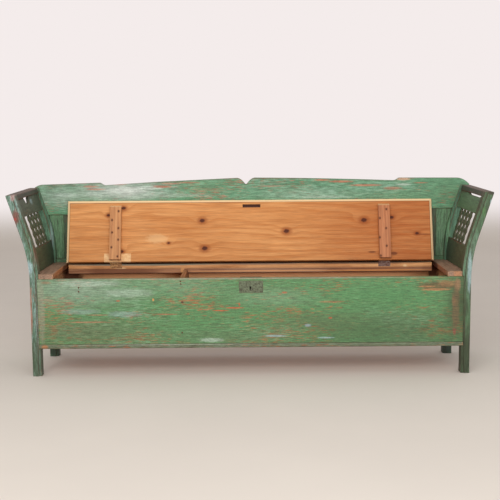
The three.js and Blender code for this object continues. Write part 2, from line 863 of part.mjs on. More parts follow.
// Lid and its battens, drawn closed and turned open by their group
function addLid() {
  const board = boxBetween([-lidLength / 2, lidLength / 2], [lidFront, lidBack], [seatBottom, seatTop]);
  const strikeSlot = boxBetween(
    [strikeSlotPlace - strikeSlotWidth / 2, strikeSlotPlace + strikeSlotWidth / 2],
    [strikeSlotFront, strikeSlotFront + strikeSlotBreadth],
    [seatBottom - overrun, seatBottom + strikeSlotDepth],
  );
  const recessY = [lidBack - leafThickness - fitGap, lidBack + overrun];
  const recesses = hingeCentres().map((hinge) => leafRecess(hinge.x, recessY));
  addPiece('lid', palePine(), cut(board, [strikeSlot, ...recesses]), lidGroup, pinPlace);
}

function addBatten(label, x) {
  const top = seatBottom - fitGap;
  const bottom = top - battenThickness;
  const front = lidFront + battenFrontMargin;
  const back = lidBack - battenBackMargin;
  const profile = new THREE.Shape();
  profile.moveTo(front, top);
  profile.lineTo(front + battenChamfer, bottom);
  profile.lineTo(back, bottom);
  profile.lineTo(back, top);
  profile.closePath();
  const geometry = new THREE.ExtrudeGeometry(profile, { depth: battenWidth, bevelEnabled: false });
  const placing = new THREE.Matrix4().makeBasis(
    new THREE.Vector3(0, 1, 0),
    new THREE.Vector3(0, 0, 1),
    new THREE.Vector3(1, 0, 0),
  );
  geometry.applyMatrix4(placing).translate(x - battenWidth / 2, 0, 0);
  addPiece(`lid_batten_${label}`, palePine(), geometry, lidGroup, pinPlace);
}

addLid();
for (const { label, x } of hingeCentres()) {
  addBatten(label, x);
}

// Lock: face plate, case behind the front board and the bolt that rises into the lid
const lockCaseFront = frontBoardBack + fitGap;
const lockCaseTop = rimHeight - fitGap;
const lockCaseBottom = lockCaseTop - lockCaseHeight;
const boltFront = lockCaseFront + (lockCaseDepth - boltThickness) / 2;
const boltTop = lockCaseTop;

function addLockPlate() {
  const plate = boxBetween(
    [lockPlace - lockPlateWidth / 2, lockPlace + lockPlateWidth / 2],
    [frontBoardFront, frontBoardFront + lockPlateThickness],
    [lockPlateBottom, lockPlateBottom + lockPlateHeight],
  );
  const keyhole = keyholeCutter([frontBoardFront - overrun, frontBoardFront + overrun]);
  addPiece('lock_plate', paintedIron(), cut(plate, [keyhole]));
}

function addLockCase() {
  const body = boxBetween(
    [lockPlace - lockCaseWidth / 2, lockPlace + lockCaseWidth / 2],
    [lockCaseFront, lockCaseFront + lockCaseDepth],
    [lockCaseBottom, lockCaseTop],
  );
  const channel = boxBetween(
    [lockPlace - boltWidth / 2 - fitGap, lockPlace + boltWidth / 2 + fitGap],
    [boltFront - fitGap, boltFront + boltThickness + fitGap],
    [lockCaseBottom + lockCaseWall, lockCaseTop + overrun],
  );
  const keyhole = keyholeCutter([lockCaseFront - overrun, boltFront]);
  addPiece('lock_case', agedIron(), cut(body, [channel, keyhole]));
}

function addLockBolt() {
  const bolt = boxBetween(
    [lockPlace - boltWidth / 2, lockPlace + boltWidth / 2],
    [boltFront, boltFront + boltThickness],
    [boltTop - boltHeight, boltTop],
  );
  addPiece('lock_bolt', agedIron(), bolt);
}

addLockPlate();
addLockCase();
addLockBolt();

// Back: crest rail with a stepped and notched top, framed panels and bottom rail
function crestShape() {
  const crest = new THREE.Shape();
  const start = rearOutline.placeAt(crestBottom, crestEndInset).x;
  crest.moveTo(...leaningPoint(-start, crestBottom));
  crest.lineTo(...leaningPoint(start, crestBottom));
  crestHalf(crest, 1);
  crestHalf(crest, -1);
  return crest;
}

// One half of the crest's top, from its end to the notch for +1 and from the notch out for -1
function crestHalf(crest, side) {
  const endHeight = crestEndHeight + side * crestLift;
  const end = rearOutline.placeAt(endHeight, crestEndInset);
  const endPlace = side * end.x;
  const cornerPlace = side * crestCornerPlace;
  const roundPlace = (endPlace + cornerPlace) / 2;
  const stepPlace = side * crestStepPlace;
  const dipPlace = side * (crestStepPlace - crestOgeeLength);
  const ogeePlace = (stepPlace + dipPlace) / 2;
  const shoulder = notchPlace + side * notchSpread;
  const flat = notchPlace + (side * notchFlat) / 2;
  const notchCurve = (shoulder + flat) / 2;
  const bowPlace = (dipPlace + shoulder) / 2;
  const bowHeight = (crestDipHeight + crestCrownHeight) / 2 + crestBowRise;
  const curve = (...points) => {
    const places = points.flatMap((point) => [...leaningPoint(...point)]);
    if (places.length > 4) {
      crest.bezierCurveTo(...places);
      return;
    }
    crest.quadraticCurveTo(...places);
  };
  const line = (x, z) => crest.lineTo(...leaningPoint(x, z));
  if (side > 0) {
    crest.lineTo(endPlace, end.y);
    curve([roundPlace, crestCornerHeight], [cornerPlace, crestCornerHeight]);
    line(stepPlace, crestStepHeight);
    curve([ogeePlace, crestStepHeight], [ogeePlace, crestDipHeight], [dipPlace, crestDipHeight]);
    curve([bowPlace, bowHeight], [shoulder, crestCrownHeight]);
    curve([notchCurve, crestCrownHeight], [flat, notchFloor]);
    return;
  }
  line(flat, notchFloor);
  curve([notchCurve, crestCrownHeight], [shoulder, crestCrownHeight]);
  curve([bowPlace, bowHeight], [dipPlace, crestDipHeight]);
  curve([ogeePlace, crestDipHeight], [ogeePlace, crestStepHeight], [stepPlace, crestStepHeight]);
  line(cornerPlace, crestCornerHeight);
  const round = leaningPoint(roundPlace, crestCornerHeight);
  crest.quadraticCurveTo(round.x, round.y, endPlace, end.y);
  crest.closePath();
}

const grooveBack = grooveFront + grooveWidth;
const frameLow = backRailTop + fitGap;
const frameHigh = crestBottom - fitGap;
const tongueReach = grooveDepth - fitGap;
const grooveY = [grooveFront - fitGap, grooveBack + fitGap];

function stileOuterAt(height) {
  return rearOutline.placeAt(height, rearPostWidth + fitGap).x;
}

function addCrest() {
  const blank = extrudeAlongY(crestShape(), [crestFront, crestBack], kneeSteps);
  const half = stileOuterAt(crestBottom);
  const groove = leaningBox([-half, half], grooveY, crestBottom - overrun, crestBottom + grooveDepth);
  addPiece('crest_rail', greenPaint(), cut(blank, [groove]));
}

function addBackRail() {
  const half = rearFootInner - fitGap;
  const body = boxBetween([-half, half], [backRailFront, frameFront + frameThickness], [backRailBottom, backRailTop]);
  const tenonHalf = rearFootInner + backRailTenon;
  const tenon = boxBetween(
    [-tenonHalf, tenonHalf],
    [frameFront, frameFront + frameThickness - tenonShoulder],
    [backRailBottom + tenonShoulder, backRailTop - tenonShoulder],
  );
  const groove = boxBetween([-half - overrun, half + overrun], grooveY, [backRailTop - grooveDepth, backRailTop + overrun]);
  addPiece('back_bottom_rail', greenPaint(), cut(join(body, [tenon]), [groove]));
}

// A stile's outer edge follows the rear post and its top follows the crest's lean
function addStile(label, side) {
  const inset = rearPostWidth + fitGap;
  const high = frameHigh + leanAt(side * stileOuterAt(frameHigh));
  const outer = rearOutline.line(inset, rearOutline.riseAt(frameLow, inset), rearOutline.riseAt(high, inset));
  const innerHigh = frameHigh + leanAt(side * stileInnerPlace);
  const foot = new THREE.Vector2(stileInnerPlace, frameLow);
  const head = new THREE.Vector2(stileInnerPlace, innerHigh);
  const body = extrudeBand([foot, ...outer, head], side, [frameFront, frameFront + frameThickness]);
  const tongue = leaningTopBox(
    sideSpan(side, stileInnerPlace, rearFootInner - backRailTenon),
    [grooveFront, grooveBack],
    frameLow - tongueReach,
    frameHigh + tongueReach,
  );
  const groove = boxBetween(
    sideSpan(side, stileInnerPlace - overrun, stileInnerPlace + grooveDepth),
    grooveY,
    [frameLow - grooveDepth - overrun, frameHigh + crestLift + grooveDepth + overrun],
  );
  addPiece(`back_stile_${label}`, greenPaint(), cut(join(body, [tongue]), [groove]));
}

function addMuntin(label, side) {
  const centre = (side * muntinSpacing) / 2;
  const x = [centre - muntinWidth / 2, centre + muntinWidth / 2];
  const body = leaningTopBox(x, [frameFront, frameFront + frameThickness], frameLow, frameHigh);
  const tongue = leaningTopBox(x, [grooveFront, grooveBack], frameLow - tongueReach, frameHigh + tongueReach);
  const z = [frameLow - grooveDepth - overrun, frameHigh + crestLift + grooveDepth + overrun];
  const grooves = [
    boxBetween([x[0] - overrun, x[0] + grooveDepth], grooveY, z),
    boxBetween([x[1] - grooveDepth, x[1] + overrun], grooveY, z),
  ];
  addPiece(`back_muntin_${label}`, greenPaint(), cut(join(body, [tongue]), grooves));
}

function addPanel(name, from, to) {
  const x = [from - tongueReach, to + tongueReach];
  const panel = leaningTopBox(x, [grooveFront, grooveBack], frameLow - tongueReach, frameHigh + tongueReach);
  addPiece(name, darkGreenPaint(), panel);
}

function addPanels() {
  const muntinInner = (muntinSpacing - muntinWidth) / 2;
  const muntinOuter = (muntinSpacing + muntinWidth) / 2;
  addPanel('back_panel_left', -stileInnerPlace, -muntinOuter);
  addPanel('back_panel_middle', -muntinInner, muntinInner);
  addPanel('back_panel_right', muntinOuter, stileInnerPlace);
}

addCrest();
addBackRail();
for (const [label, side] of Object.entries(sides)) {
  addStile(label, side);
  addMuntin(label, side);
}
addPanels();

export default bench;
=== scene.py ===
import math

import bmesh
import bpy
from bpy.props import FloatProperty, FloatVectorProperty, IntProperty, PointerProperty
from bpy.types import Operator, Panel, PropertyGroup
from mathutils import Matrix, Vector


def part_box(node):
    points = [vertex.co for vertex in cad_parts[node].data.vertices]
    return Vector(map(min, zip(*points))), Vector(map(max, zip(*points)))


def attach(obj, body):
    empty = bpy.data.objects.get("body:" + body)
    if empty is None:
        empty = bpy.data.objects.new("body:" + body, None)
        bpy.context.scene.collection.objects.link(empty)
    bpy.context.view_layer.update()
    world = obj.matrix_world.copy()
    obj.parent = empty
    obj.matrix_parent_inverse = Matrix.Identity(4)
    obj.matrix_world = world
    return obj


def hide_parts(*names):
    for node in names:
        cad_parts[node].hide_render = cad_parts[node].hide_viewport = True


bl_info = {
    "name": "Painted Settle Bench",
    "version": (1, 0, 0),
    "blender": (4, 5, 0),
    "location": "3D View > Sidebar > Settle",
    "description": "Dresses the solids of a painted box settle with worn paint, pine and iron",
    "category": "Object",
}

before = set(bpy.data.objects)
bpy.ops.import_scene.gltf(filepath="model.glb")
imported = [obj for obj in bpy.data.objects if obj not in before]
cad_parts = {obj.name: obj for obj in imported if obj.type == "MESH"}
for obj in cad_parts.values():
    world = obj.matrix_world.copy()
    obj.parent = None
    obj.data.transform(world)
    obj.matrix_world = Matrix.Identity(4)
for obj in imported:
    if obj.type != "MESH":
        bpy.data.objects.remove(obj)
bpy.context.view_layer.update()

# The open lid's own axes: X along the bench, Y from the hinge to the free edge, Z out of its underside
LID_PIN = (0.0, 0.09725, 0.4778)
LID_OPENING = math.radians(107.653)
LID_TURN = math.pi - LID_OPENING
LID_UNDERSIDE = 0.0275
BATTEN_FACE = 0.0478


def linear(code):
    """A colour written as in a paint chart, turned into linear light."""
    parts = [int(code[start : start + 2], 16) / 255 for start in (1, 3, 5)]
    return tuple(part / 12.92 if part <= 0.04045 else ((part + 0.055) / 1.055) ** 2.4 for part in parts)


def colour(name, description, code):
    return FloatVectorProperty(
        name=name, description=description, subtype="COLOR", size=3, min=0, max=1, default=linear(code)
    )


def amount(name, description, default, unit="NONE"):
    return FloatProperty(name=name, description=description, default=default, min=0, unit=unit, precision=4)


def length(name, description, default):
    return amount(name, description, default, "LENGTH")


class SettlePaint(PropertyGroup):
    """Colours of the painted wood."""

    green: colour("Green", "Main paint of the boards", "#578a57")
    mint: colour("Mint", "Chalky faded paint", "#b3c4b3")
    olive: colour("Olive", "Dirty paint in the grain", "#5a6a44")
    post_green: colour("Post green", "Main paint of the posts", "#416a44")
    post_blue: colour("Post blue", "Older pale blue coat", "#a3bcc0")
    # The fretwork's green is darkened with painted shade
    fret_green_with_painted_shade: colour("Fret green", "Shaded paint of the arms' fretwork", "#46543b")
    primer: colour("Primer", "Red lead primer under the green", "#b4572f")
    ochre: colour("Ochre", "Bare pine seen through the paint", "#b08558")
    worn_brown: colour("Worn brown", "Handled wood on the edges", "#6b4734")
    taupe: colour("Taupe", "Paint worn thin and dirty", "#83705f")
    seat_brown: colour("Seat brown", "Worn paint of the seat", "#96755f")


class SettlePine(PropertyGroup):
    """Colours of the bare pine."""

    honey: colour("Honey", "Early wood of the lid", "#d8985d")
    amber: colour("Amber", "Late wood of the lid", "#b26a30")
    russet: colour("Russet", "Warmer right end of the lid", "#a04e18")
    knot: colour("Knot", "Heart of a knot", "#54200c")
    inside: colour("Inside", "Pine inside the box", "#d0905f")
    inside_dark: colour("Inside grain", "Grain and dirt inside the box", "#6f4029")
    fresh: colour("Fresh", "Pine that stayed covered", "#ecc592")


class SettleIron(PropertyGroup):
    """Colours of the ironwork."""

    iron: colour("Iron", "Dull iron", "#5e5b55")
    rust: colour("Rust", "Brown rust on the iron", "#5a3422")
    plate: colour("Plate paint", "Thin paint on the lock plate", "#707a64")


class SettleWear(PropertyGroup):
    """Sizes of the softened edges and small ironwork."""

    edge: length("Edge", "How far a sawn edge is worn round", 0.0018)
    hand_edge: length("Handled edge", "How far a handled edge is worn round", 0.0035)
    lid_chamfer: length("Lid chamfer", "Chamfer round the lid's underside", 0.009)
    bead_round: length("Bead round", "Round of the bead's front edges", 0.006)
    wear_width: length("Wear width", "How far rubbed paint reaches in from an edge", 0.006)
    nail_radius: length("Nail radius", "Half the width of a cut nail's head", 0.0036)
    screw_radius: length("Screw radius", "Half the width of a hinge screw's head", 0.0034)
    edge_steps: IntProperty(name="Edge steps", description="Facets of a worn edge", default=2, min=1, max=6)


class SettleStage(PropertyGroup):
    """Stage and light."""

    floor: colour("Floor", "Pale floor", "#dcd3ca")
    backdrop: colour("Backdrop", "Pale backdrop", "#f4eceb")
    sky: amount("Sky", "Strength of the even light", 0.62)
    key: amount("Key lamp", "Power of the large front lamp", 104, "POWER")
    fill: amount("Fill lamp", "Power of the low front lamp", 62, "POWER")


def settings():
    return bpy.context.scene.settle


class SettleSettings(PropertyGroup):
    """All the settings of the bench."""

    paint: PointerProperty(type=SettlePaint)
    pine: PointerProperty(type=SettlePine)
    iron: PointerProperty(type=SettleIron)
    wear: PointerProperty(type=SettleWear)
    stage: PointerProperty(type=SettleStage)


def tint(code):
    """An opaque colour from its paint chart code or its name among the settings."""
    if code.startswith("#"):
        return (*linear(code), 1)
    bench = settings()
    groups = (bench.paint, bench.pine, bench.iron, bench.stage)
    return (*next(getattr(group, code) for group in groups if code in group.__annotations__), 1)


class Nodes:
    """Adds and joins the nodes of one tree."""

    def __init__(self, tree):
        self.tree = tree

    def feed(self, socket, value):
        if isinstance(value, bpy.types.NodeSocket):
            self.tree.links.new(value, socket)
            return
        socket.default_value = tint(value) if isinstance(value, str) else value

    def send(self, sockets, **values):
        for name, value in values.items():
            self.feed(sockets[name], value)

    def add(self, kind, inputs=None, **options):
        node = self.tree.nodes.new(kind)
        for name, value in options.items():
            setattr(node, name, value)
        for key, value in (inputs or {}).items():
            self.feed(node.inputs[key], value)
        return node

    def maths(self, operation, first, second=0.0):
        return self.add("ShaderNodeMath", {0: first, 1: second}, operation=operation).outputs[0]

    def chain(self, operation, first, *others):
        for other in others:
            first = self.maths(operation, first, other)
        return first

    def times(self, *values):
        return self.chain("MULTIPLY", *values)

    def plus(self, *values):
        return self.chain("ADD", *values)

    def minus(self, *values):
        return self.chain("SUBTRACT", *values)

    def larger(self, *values):
        return self.chain("MAXIMUM", *values)

    def smaller(self, *values):
        return self.chain("MINIMUM", *values)

    def lean(self, value, strength):
        """How far a value is from one half, as a push up or down."""
        return self.times(self.minus(value, 0.5), strength)

    def spread(self, value, low, high, to_low=0.0, to_high=1.0):
        inputs = {"Value": value, "From Min": low, "From Max": high, "To Min": to_low, "To Max": to_high}
        return self.add("ShaderNodeMapRange", inputs, interpolation_type="SMOOTHSTEP").outputs["Result"]

    def noise(self, vector, scale=1.0, detail=3.0, rough=0.55):
        inputs = {"Vector": vector, "Scale": scale, "Detail": detail, "Roughness": rough}
        return self.add("ShaderNodeTexNoise", inputs).outputs["Fac"]

    def streaks(self, vector, along, across, shift=(0, 0, 0), detail=3.0, rough=0.55):
        """Noise that is drawn out along the grain."""
        return self.noise(self.place(vector, (along, across, across), shift=shift), 1.0, detail, rough)

    def place(self, vector, scale=(1, 1, 1), turn=(0, 0, 0), shift=(0, 0, 0), kind="POINT"):
        inputs = {"Vector": vector, "Location": shift, "Rotation": turn, "Scale": scale}
        return self.add("ShaderNodeMapping", inputs, vector_type=kind).outputs[0]

    def vector(self, operation, first, second=(0, 0, 0)):
        node = self.add("ShaderNodeVectorMath", {0: first, 1: second}, operation=operation)
        return node.outputs["Value"] if operation in ("LENGTH", "DOT_PRODUCT") else node.outputs["Vector"]

    def blend(self, factor, first, second, kind="MIX"):
        node = self.add("ShaderNodeMix", data_type="RGBA", blend_type=kind)
        for index, value in ((0, factor), (6, first), (7, second)):
            self.feed(node.inputs[index], value)
        return node.outputs[2]

    def darken(self, tone, lines):
        """Draws fine dark and light lines over a colour."""
        grey = self.add("ShaderNodeCombineColor", {0: lines, 1: lines, 2: lines}).outputs[0]
        return self.blend(1.0, tone, grey, "MULTIPLY")

    def split(self, vector):
        return self.add("ShaderNodeSeparateXYZ", {0: vector}).outputs

    def group(self, name, **inputs):
        node = self.add("ShaderNodeGroup", node_tree=bpy.data.node_groups[name])
        for key, value in inputs.items():
            self.feed(node.inputs[key.replace("_", " ").capitalize()], value)
        return node.outputs


SOCKETS = {str: "NodeSocketColor", tuple: "NodeSocketVector", float: "NodeSocketFloat"}


def start_group(name, inputs, outputs):
    """A node group with its nodes, entry and exit. Each input's usual value tells its kind."""
    tree = bpy.data.node_groups.new(name, "ShaderNodeTree")
    for label, usual in inputs.items():
        socket = tree.interface.new_socket(label, in_out="INPUT", socket_type=SOCKETS[type(usual)])
        socket.default_value = tint(usual) if isinstance(usual, str) else usual
    for label in outputs:
        kind = SOCKETS[str] if label == "Colour" else SOCKETS[float]
        tree.interface.new_socket(label, in_out="OUTPUT", socket_type=kind)
    nodes = Nodes(tree)
    return nodes, nodes.add("NodeGroupInput").outputs, nodes.add("NodeGroupOutput").inputs


def make_edge_wear():
    """Where sharp edges lie, broken up as rubbing leaves them."""
    nodes, entry, leave = start_group(
        "Edge wear",
        {"Vector": (0, 0, 0), "Width": 0.006, "Amount": 0.5},
        ["Edge"],
    )
    bevel = nodes.add("ShaderNodeBevel", {"Radius": entry["Width"]}, samples=4).outputs["Normal"]
    flat = nodes.add("ShaderNodeNewGeometry").outputs["True Normal"]
    facing = nodes.vector("DOT_PRODUCT", bevel, flat)
    edge = nodes.spread(facing, 0.995, 0.86)
    breaks = nodes.streaks(entry["Vector"], 22, 60, detail=4)
    kept = nodes.minus(nodes.plus(entry["Amount"], edge), breaks)
    nodes.send(leave, Edge=nodes.times(nodes.spread(kept, 0.35, 0.75), edge))


def make_worn_patch():
    """A ragged oval at one place, for faded, rubbed or stained spots."""
    nodes, entry, leave = start_group(
        "Worn patch",
        {"Vector": (0, 0, 0), "Centre": (0, 0, 0), "Reach": (0.1, 0.1, 0.1), "Ragged": 1.0, "Soft": 0.5},
        ["Patch"],
    )
    away = nodes.vector("SUBTRACT", entry["Vector"], entry["Centre"])
    away = nodes.vector("DIVIDE", away, entry["Reach"])
    rough = nodes.lean(nodes.noise(away, 3.5, 4, 0.65), entry["Ragged"])
    inside = nodes.minus(1.0, nodes.plus(nodes.vector("LENGTH", away), rough))
    nodes.send(leave, Patch=nodes.spread(inside, 0, entry["Soft"]))


def make_distressed_paint():
    """Thin old paint with brush marks along the grain, faded streaks and flecks of primer."""
    nodes, entry, leave = start_group(
        "Distressed paint",
        {"Vector": (0, 0, 0), "Paint": "green", "Faded": "mint", "Dirty": "olive", "Primer": "primer"}
        | {"Bare": "worn_brown", "Fading": 0.4, "Dirt": 0.4, "Flecks": 0.3, "Edge": 0.0},
        ["Colour", "Lines", "Roughness", "Height"],
    )
    vector = entry["Vector"]
    clouds = nodes.streaks(vector, 2.4, 8)
    brush = nodes.streaks(vector, 22, 185, (3, 1, 7), 5, 0.7)
    fibre = nodes.streaks(vector, 40, 460, (1, 5, 2), 4, 0.6)
    specks = nodes.streaks(vector, 120, 260, (8, 2, 4), rough=0.6)
    faded = nodes.plus(nodes.times(clouds, 0.42), nodes.times(brush, 0.58), nodes.lean(entry["Fading"], 0.5))
    faded = nodes.spread(faded, 0.4, 0.74)
    grime = nodes.streaks(vector, 14, 120, (11, 4, 6), 5, 0.72)
    grime = nodes.spread(nodes.plus(grime, nodes.lean(entry["Dirt"], 0.5)), 0.4, 0.72)
    tone = nodes.blend(nodes.times(grime, 0.75), entry["Paint"], entry["Dirty"])
    tone = nodes.blend(nodes.times(faded, 0.7), tone, entry["Faded"])
    lines = nodes.times(
        nodes.spread(brush, 0.33, 0.62, 0.66, 1.1),
        nodes.spread(fibre, 0.3, 0.6, 0.8, 1.06),
        nodes.spread(specks, 0.32, 0.55, 0.8, 1.04),
    )
    flecks = nodes.streaks(vector, 26, 260, (6, 2, 9), 4, 0.55)
    regions = nodes.streaks(vector, 3.2, 11, (5, 5, 1))
    flecks = nodes.plus(flecks, nodes.lean(regions, 0.7), nodes.lean(entry["Flecks"], 0.4))
    flecks = nodes.spread(flecks, 0.57, 0.7)
    tone = nodes.blend(nodes.times(flecks, 0.66), tone, entry["Primer"])
    tone = nodes.blend(nodes.times(entry["Edge"], 0.85), tone, entry["Bare"])
    rough = nodes.plus(nodes.spread(brush, 0.3, 0.7, 0.5, 0.66), nodes.times(entry["Edge"], 0.1))
    height = nodes.plus(nodes.times(fibre, 0.4), nodes.times(brush, 0.45))
    height = nodes.minus(height, nodes.times(nodes.larger(flecks, entry["Edge"]), 0.4))
    nodes.send(leave, Colour=tone, Lines=lines, Roughness=rough, Height=height)


def make_pine_grain():
    """Growth rings and pores of a flat-sawn board, with the rings pushed aside by knots."""
    nodes, entry, leave = start_group(
        "Pine grain",
        {"Vector": (0, 0, 0), "Light": "honey", "Dark": "amber", "Rings": 24.0, "Push": 0.0},
        ["Colour", "Roughness", "Height"],
    )
    vector = entry["Vector"]
    drift = nodes.streaks(vector, 0.55, 4, detail=2)
    wobble = nodes.streaks(vector, 4, 24)
    ring = nodes.times(nodes.split(vector)[1], entry["Rings"])
    ring = nodes.plus(ring, nodes.times(drift, 10), nodes.times(wobble, 0.5), entry["Push"])
    wave = nodes.maths("FRACT", ring)
    late = nodes.times(nodes.spread(wave, 0.3, 0.92), nodes.spread(wave, 1.0, 0.93))
    fibre = nodes.streaks(vector, 11, 330, detail=4, rough=0.6)
    streaks = nodes.streaks(vector, 3.5, 75, (2, 7, 3), 5, 0.65)
    clouds = nodes.streaks(vector, 2, 9, (4, 2, 1), 4)
    tone = nodes.blend(nodes.times(late, 0.42), entry["Light"], entry["Dark"])
    tone = nodes.blend(nodes.spread(streaks, 0.42, 0.7, 0, 0.6), tone, entry["Dark"])
    tone = nodes.blend(nodes.spread(clouds, 0.42, 0.72, 0, 0.45), tone, entry["Dark"])
    lines = nodes.spread(fibre, 0.32, 0.64, 0.8, 1.07)
    rough = nodes.spread(fibre, 0.3, 0.7, 0.5, 0.66)
    height = nodes.plus(nodes.times(late, 0.4), nodes.times(fibre, 0.6))
    nodes.send(leave, Colour=nodes.darken(tone, lines), Roughness=rough, Height=height)


def make_pine_knot():
    """A knot's dark heart, its reddish ring and how far it pushes the grain."""
    nodes, entry, leave = start_group(
        "Pine knot",
        {"Vector": (0, 0, 0), "Centre": (0, 0, 0), "Radius": 0.01},
        ["Heart", "Ring", "Push"],
    )
    away = nodes.vector("MULTIPLY", nodes.vector("SUBTRACT", entry["Vector"], entry["Centre"]), (0.8, 1.1, 0))
    size = nodes.maths("DIVIDE", nodes.vector("LENGTH", away), entry["Radius"])
    ragged = nodes.streaks(away, 90, 90, detail=2)
    size = nodes.plus(size, nodes.lean(ragged, 0.7))
    heart = nodes.spread(size, 1.15, 0.55)
    push = nodes.spread(size, 6.0, 0.2, 0, 0.7)
    nodes.send(leave, Heart=heart, Ring=nodes.spread(size, 2.5, 0.9), Push=push)


def make_iron_skin():
    """Dull iron with patches of rust."""
    nodes, entry, leave = start_group(
        "Iron skin",
        {"Vector": (0, 0, 0), "Iron": "iron", "Rust": "rust", "Rusting": 0.5},
        ["Colour", "Roughness", "Metal", "Height"],
    )
    clouds = nodes.noise(entry["Vector"], 130, 4, 0.7)
    pits = nodes.noise(entry["Vector"], 420, 3)
    rust = nodes.plus(clouds, nodes.lean(entry["Rusting"], 0.6), nodes.lean(pits, 0.5))
    rust = nodes.spread(rust, 0.4, 0.65)
    tone = nodes.blend(rust, entry["Iron"], entry["Rust"])
    rough = nodes.spread(rust, 0, 1, 0.42, 0.85)
    metal = nodes.spread(rust, 0, 1, 0.9, 0.1)
    height = nodes.plus(nodes.times(pits, 0.5), nodes.times(rust, 0.4))
    nodes.send(leave, Colour=tone, Roughness=rough, Metal=metal, Height=height)


def start_material(name):
    """A new material with its nodes, its shader and the piece's own coordinates."""
    material = bpy.data.materials.new(name)
    material.use_nodes = True
    nodes = Nodes(material.node_tree)
    shader = material.node_tree.nodes["Principled BSDF"]
    place = nodes.add("ShaderNodeTexCoord").outputs["Object"]
    return material, nodes, shader, place


# How deep the surface patterns are
PAINT_RELIEF = 0.0011
PINE_RELIEF = 0.0006
IRON_RELIEF = 0.0004

# Turns that lay a board's grain along the pattern's X axis
GRAIN_TURNS = {"x": (0, 0, 0), "y": (0, 0, -math.pi / 2), "z": (0, math.pi / 2, 0)}


def lay_patches(nodes, tone, place, patches, soft=0.55):
    """Ragged spots over a colour, each a centre, a reach, a colour, a strength and how ragged it is."""
    for centre, reach, spot, strength, ragged in patches:
        mask = nodes.group("Worn patch", vector=place, centre=centre, reach=reach, ragged=ragged, soft=soft)
        tone = nodes.blend(nodes.times(mask["Patch"], strength), tone, spot)
    return tone


def finish_shader(nodes, shader, tone, skin, relief):
    """Joins a colour and a pattern's roughness and height to the shader."""
    nodes.feed(shader.inputs["Base Color"], tone)
    nodes.feed(shader.inputs["Roughness"], skin["Roughness"])
    bump = nodes.add("ShaderNodeBump", {"Height": skin["Height"], "Strength": 0.6, "Distance": relief})
    nodes.feed(shader.inputs["Normal"], bump.outputs[0])


def finish_pine(nodes, shader, tone, wood):
    """Dry bare wood, with little shine."""
    shader.inputs["Specular IOR Level"].default_value = 0.2
    finish_shader(nodes, shader, tone, wood, PINE_RELIEF)


PAINT_INPUTS = ("paint", "faded", "dirty", "primer", "bare", "fading", "dirt", "flecks")


def old_paint(nodes, vector, coats, wear, edge):
    """Coats are paint, faded, dirty, primer and bare; wear is fading, dirt and flecks."""
    values = dict(zip(PAINT_INPUTS, (*coats, *wear)))
    return nodes.group("Distressed paint", vector=vector, edge=edge, **values)


def painted_wood(name, grain, coats, wear, patches=(), tones=(), sides=(), bare_back=False, seed=0.0):
    """Worn paint on pine. wear is the shares of fading, dirt, flecks and rubbed edges.

    tones are broad soft changes of colour and patches are small marks, both as lay_patches takes them.
    sides are the directions of faces that have another colour, each with its colour and strength: worn tops,
    and painted shade on inner sides.
    """
    material, nodes, shader, place = start_material(name)
    vector = nodes.place(place, turn=GRAIN_TURNS[grain], shift=(seed, seed * 0.7, seed * 0.3))
    edge = nodes.group("Edge wear", vector=vector, width=settings().wear.wear_width, amount=wear[3])["Edge"]
    skin = old_paint(nodes, vector, coats, wear, edge)
    tone = skin["Colour"]
    facing = nodes.add("ShaderNodeNewGeometry").outputs["True Normal"]
    for direction, worn_and_shaded_colour, strength in sides:
        turned = nodes.spread(nodes.vector("DOT_PRODUCT", facing, direction), 0.6, 0.75)
        uneven = nodes.spread(nodes.noise(vector, 14, 4), 0.3, 0.6, 0.55, 1)
        tone = nodes.blend(nodes.times(turned, uneven, strength), tone, worn_and_shaded_colour)
    tone = lay_patches(nodes, tone, place, tones, 1.0)
    tone = lay_patches(nodes, tone, place, patches)
    tone = nodes.darken(tone, skin["Lines"])
    if bare_back:
        wood = nodes.group("Pine grain", vector=vector, light="inside", dark="inside_dark", rings=30.0)
        back = nodes.spread(nodes.split(facing)[1], 0.7, 0.8)
        tone = nodes.blend(back, tone, wood["Colour"])
    finish_shader(nodes, shader, tone, skin, PAINT_RELIEF)
    return material


def pine_wood(name, grain, light, dark, rings=26.0, patches=(), seed=0.0):
    """Bare aged pine for the inside of the box."""
    material, nodes, shader, place = start_material(name)
    vector = nodes.place(place, turn=GRAIN_TURNS[grain], shift=(seed, seed * 0.6, seed * 0.2))
    edge = nodes.group("Edge wear", vector=vector, width=0.004, amount=0.4)["Edge"]
    wood = nodes.group("Pine grain", vector=vector, light=light, dark=dark, rings=rings)
    dust = nodes.spread(nodes.noise(place, 9, 5), 0.48, 0.75, 0, 0.5)
    tone = nodes.blend(dust, wood["Colour"], dark)
    tone = nodes.blend(nodes.times(edge, 0.6), tone, light)
    tone = lay_patches(nodes, tone, place, patches)
    finish_pine(nodes, shader, tone, wood)
    return material


# Knots in the lid's underside: place along X, place from the hinge, radius
LID_KNOTS = (
    (-0.232, 0.203, 0.0115),
    (-0.220, 0.066, 0.0125),
    (-0.395, 0.093, 0.0060),
    (0.177, 0.148, 0.0125),
    (0.555, 0.200, 0.0130),
    (0.690, 0.212, 0.0095),
    (0.811, 0.132, 0.0085),
    (-0.615, 0.268, 0.0095),
    (-0.622, 0.053, 0.0090),
    (-0.689, 0.233, 0.0080),
)


# Half the lid's length, and how far its free edge is from the hinge's pin
LID_HALF = 0.889
LID_BREADTH = 0.306
# A pale place by the left hinge: its middle and half its width along X, and how far it goes from the pin
PALE_MIDDLE = -0.6415
PALE_HALF = 0.0655
PALE_REACH = 0.044


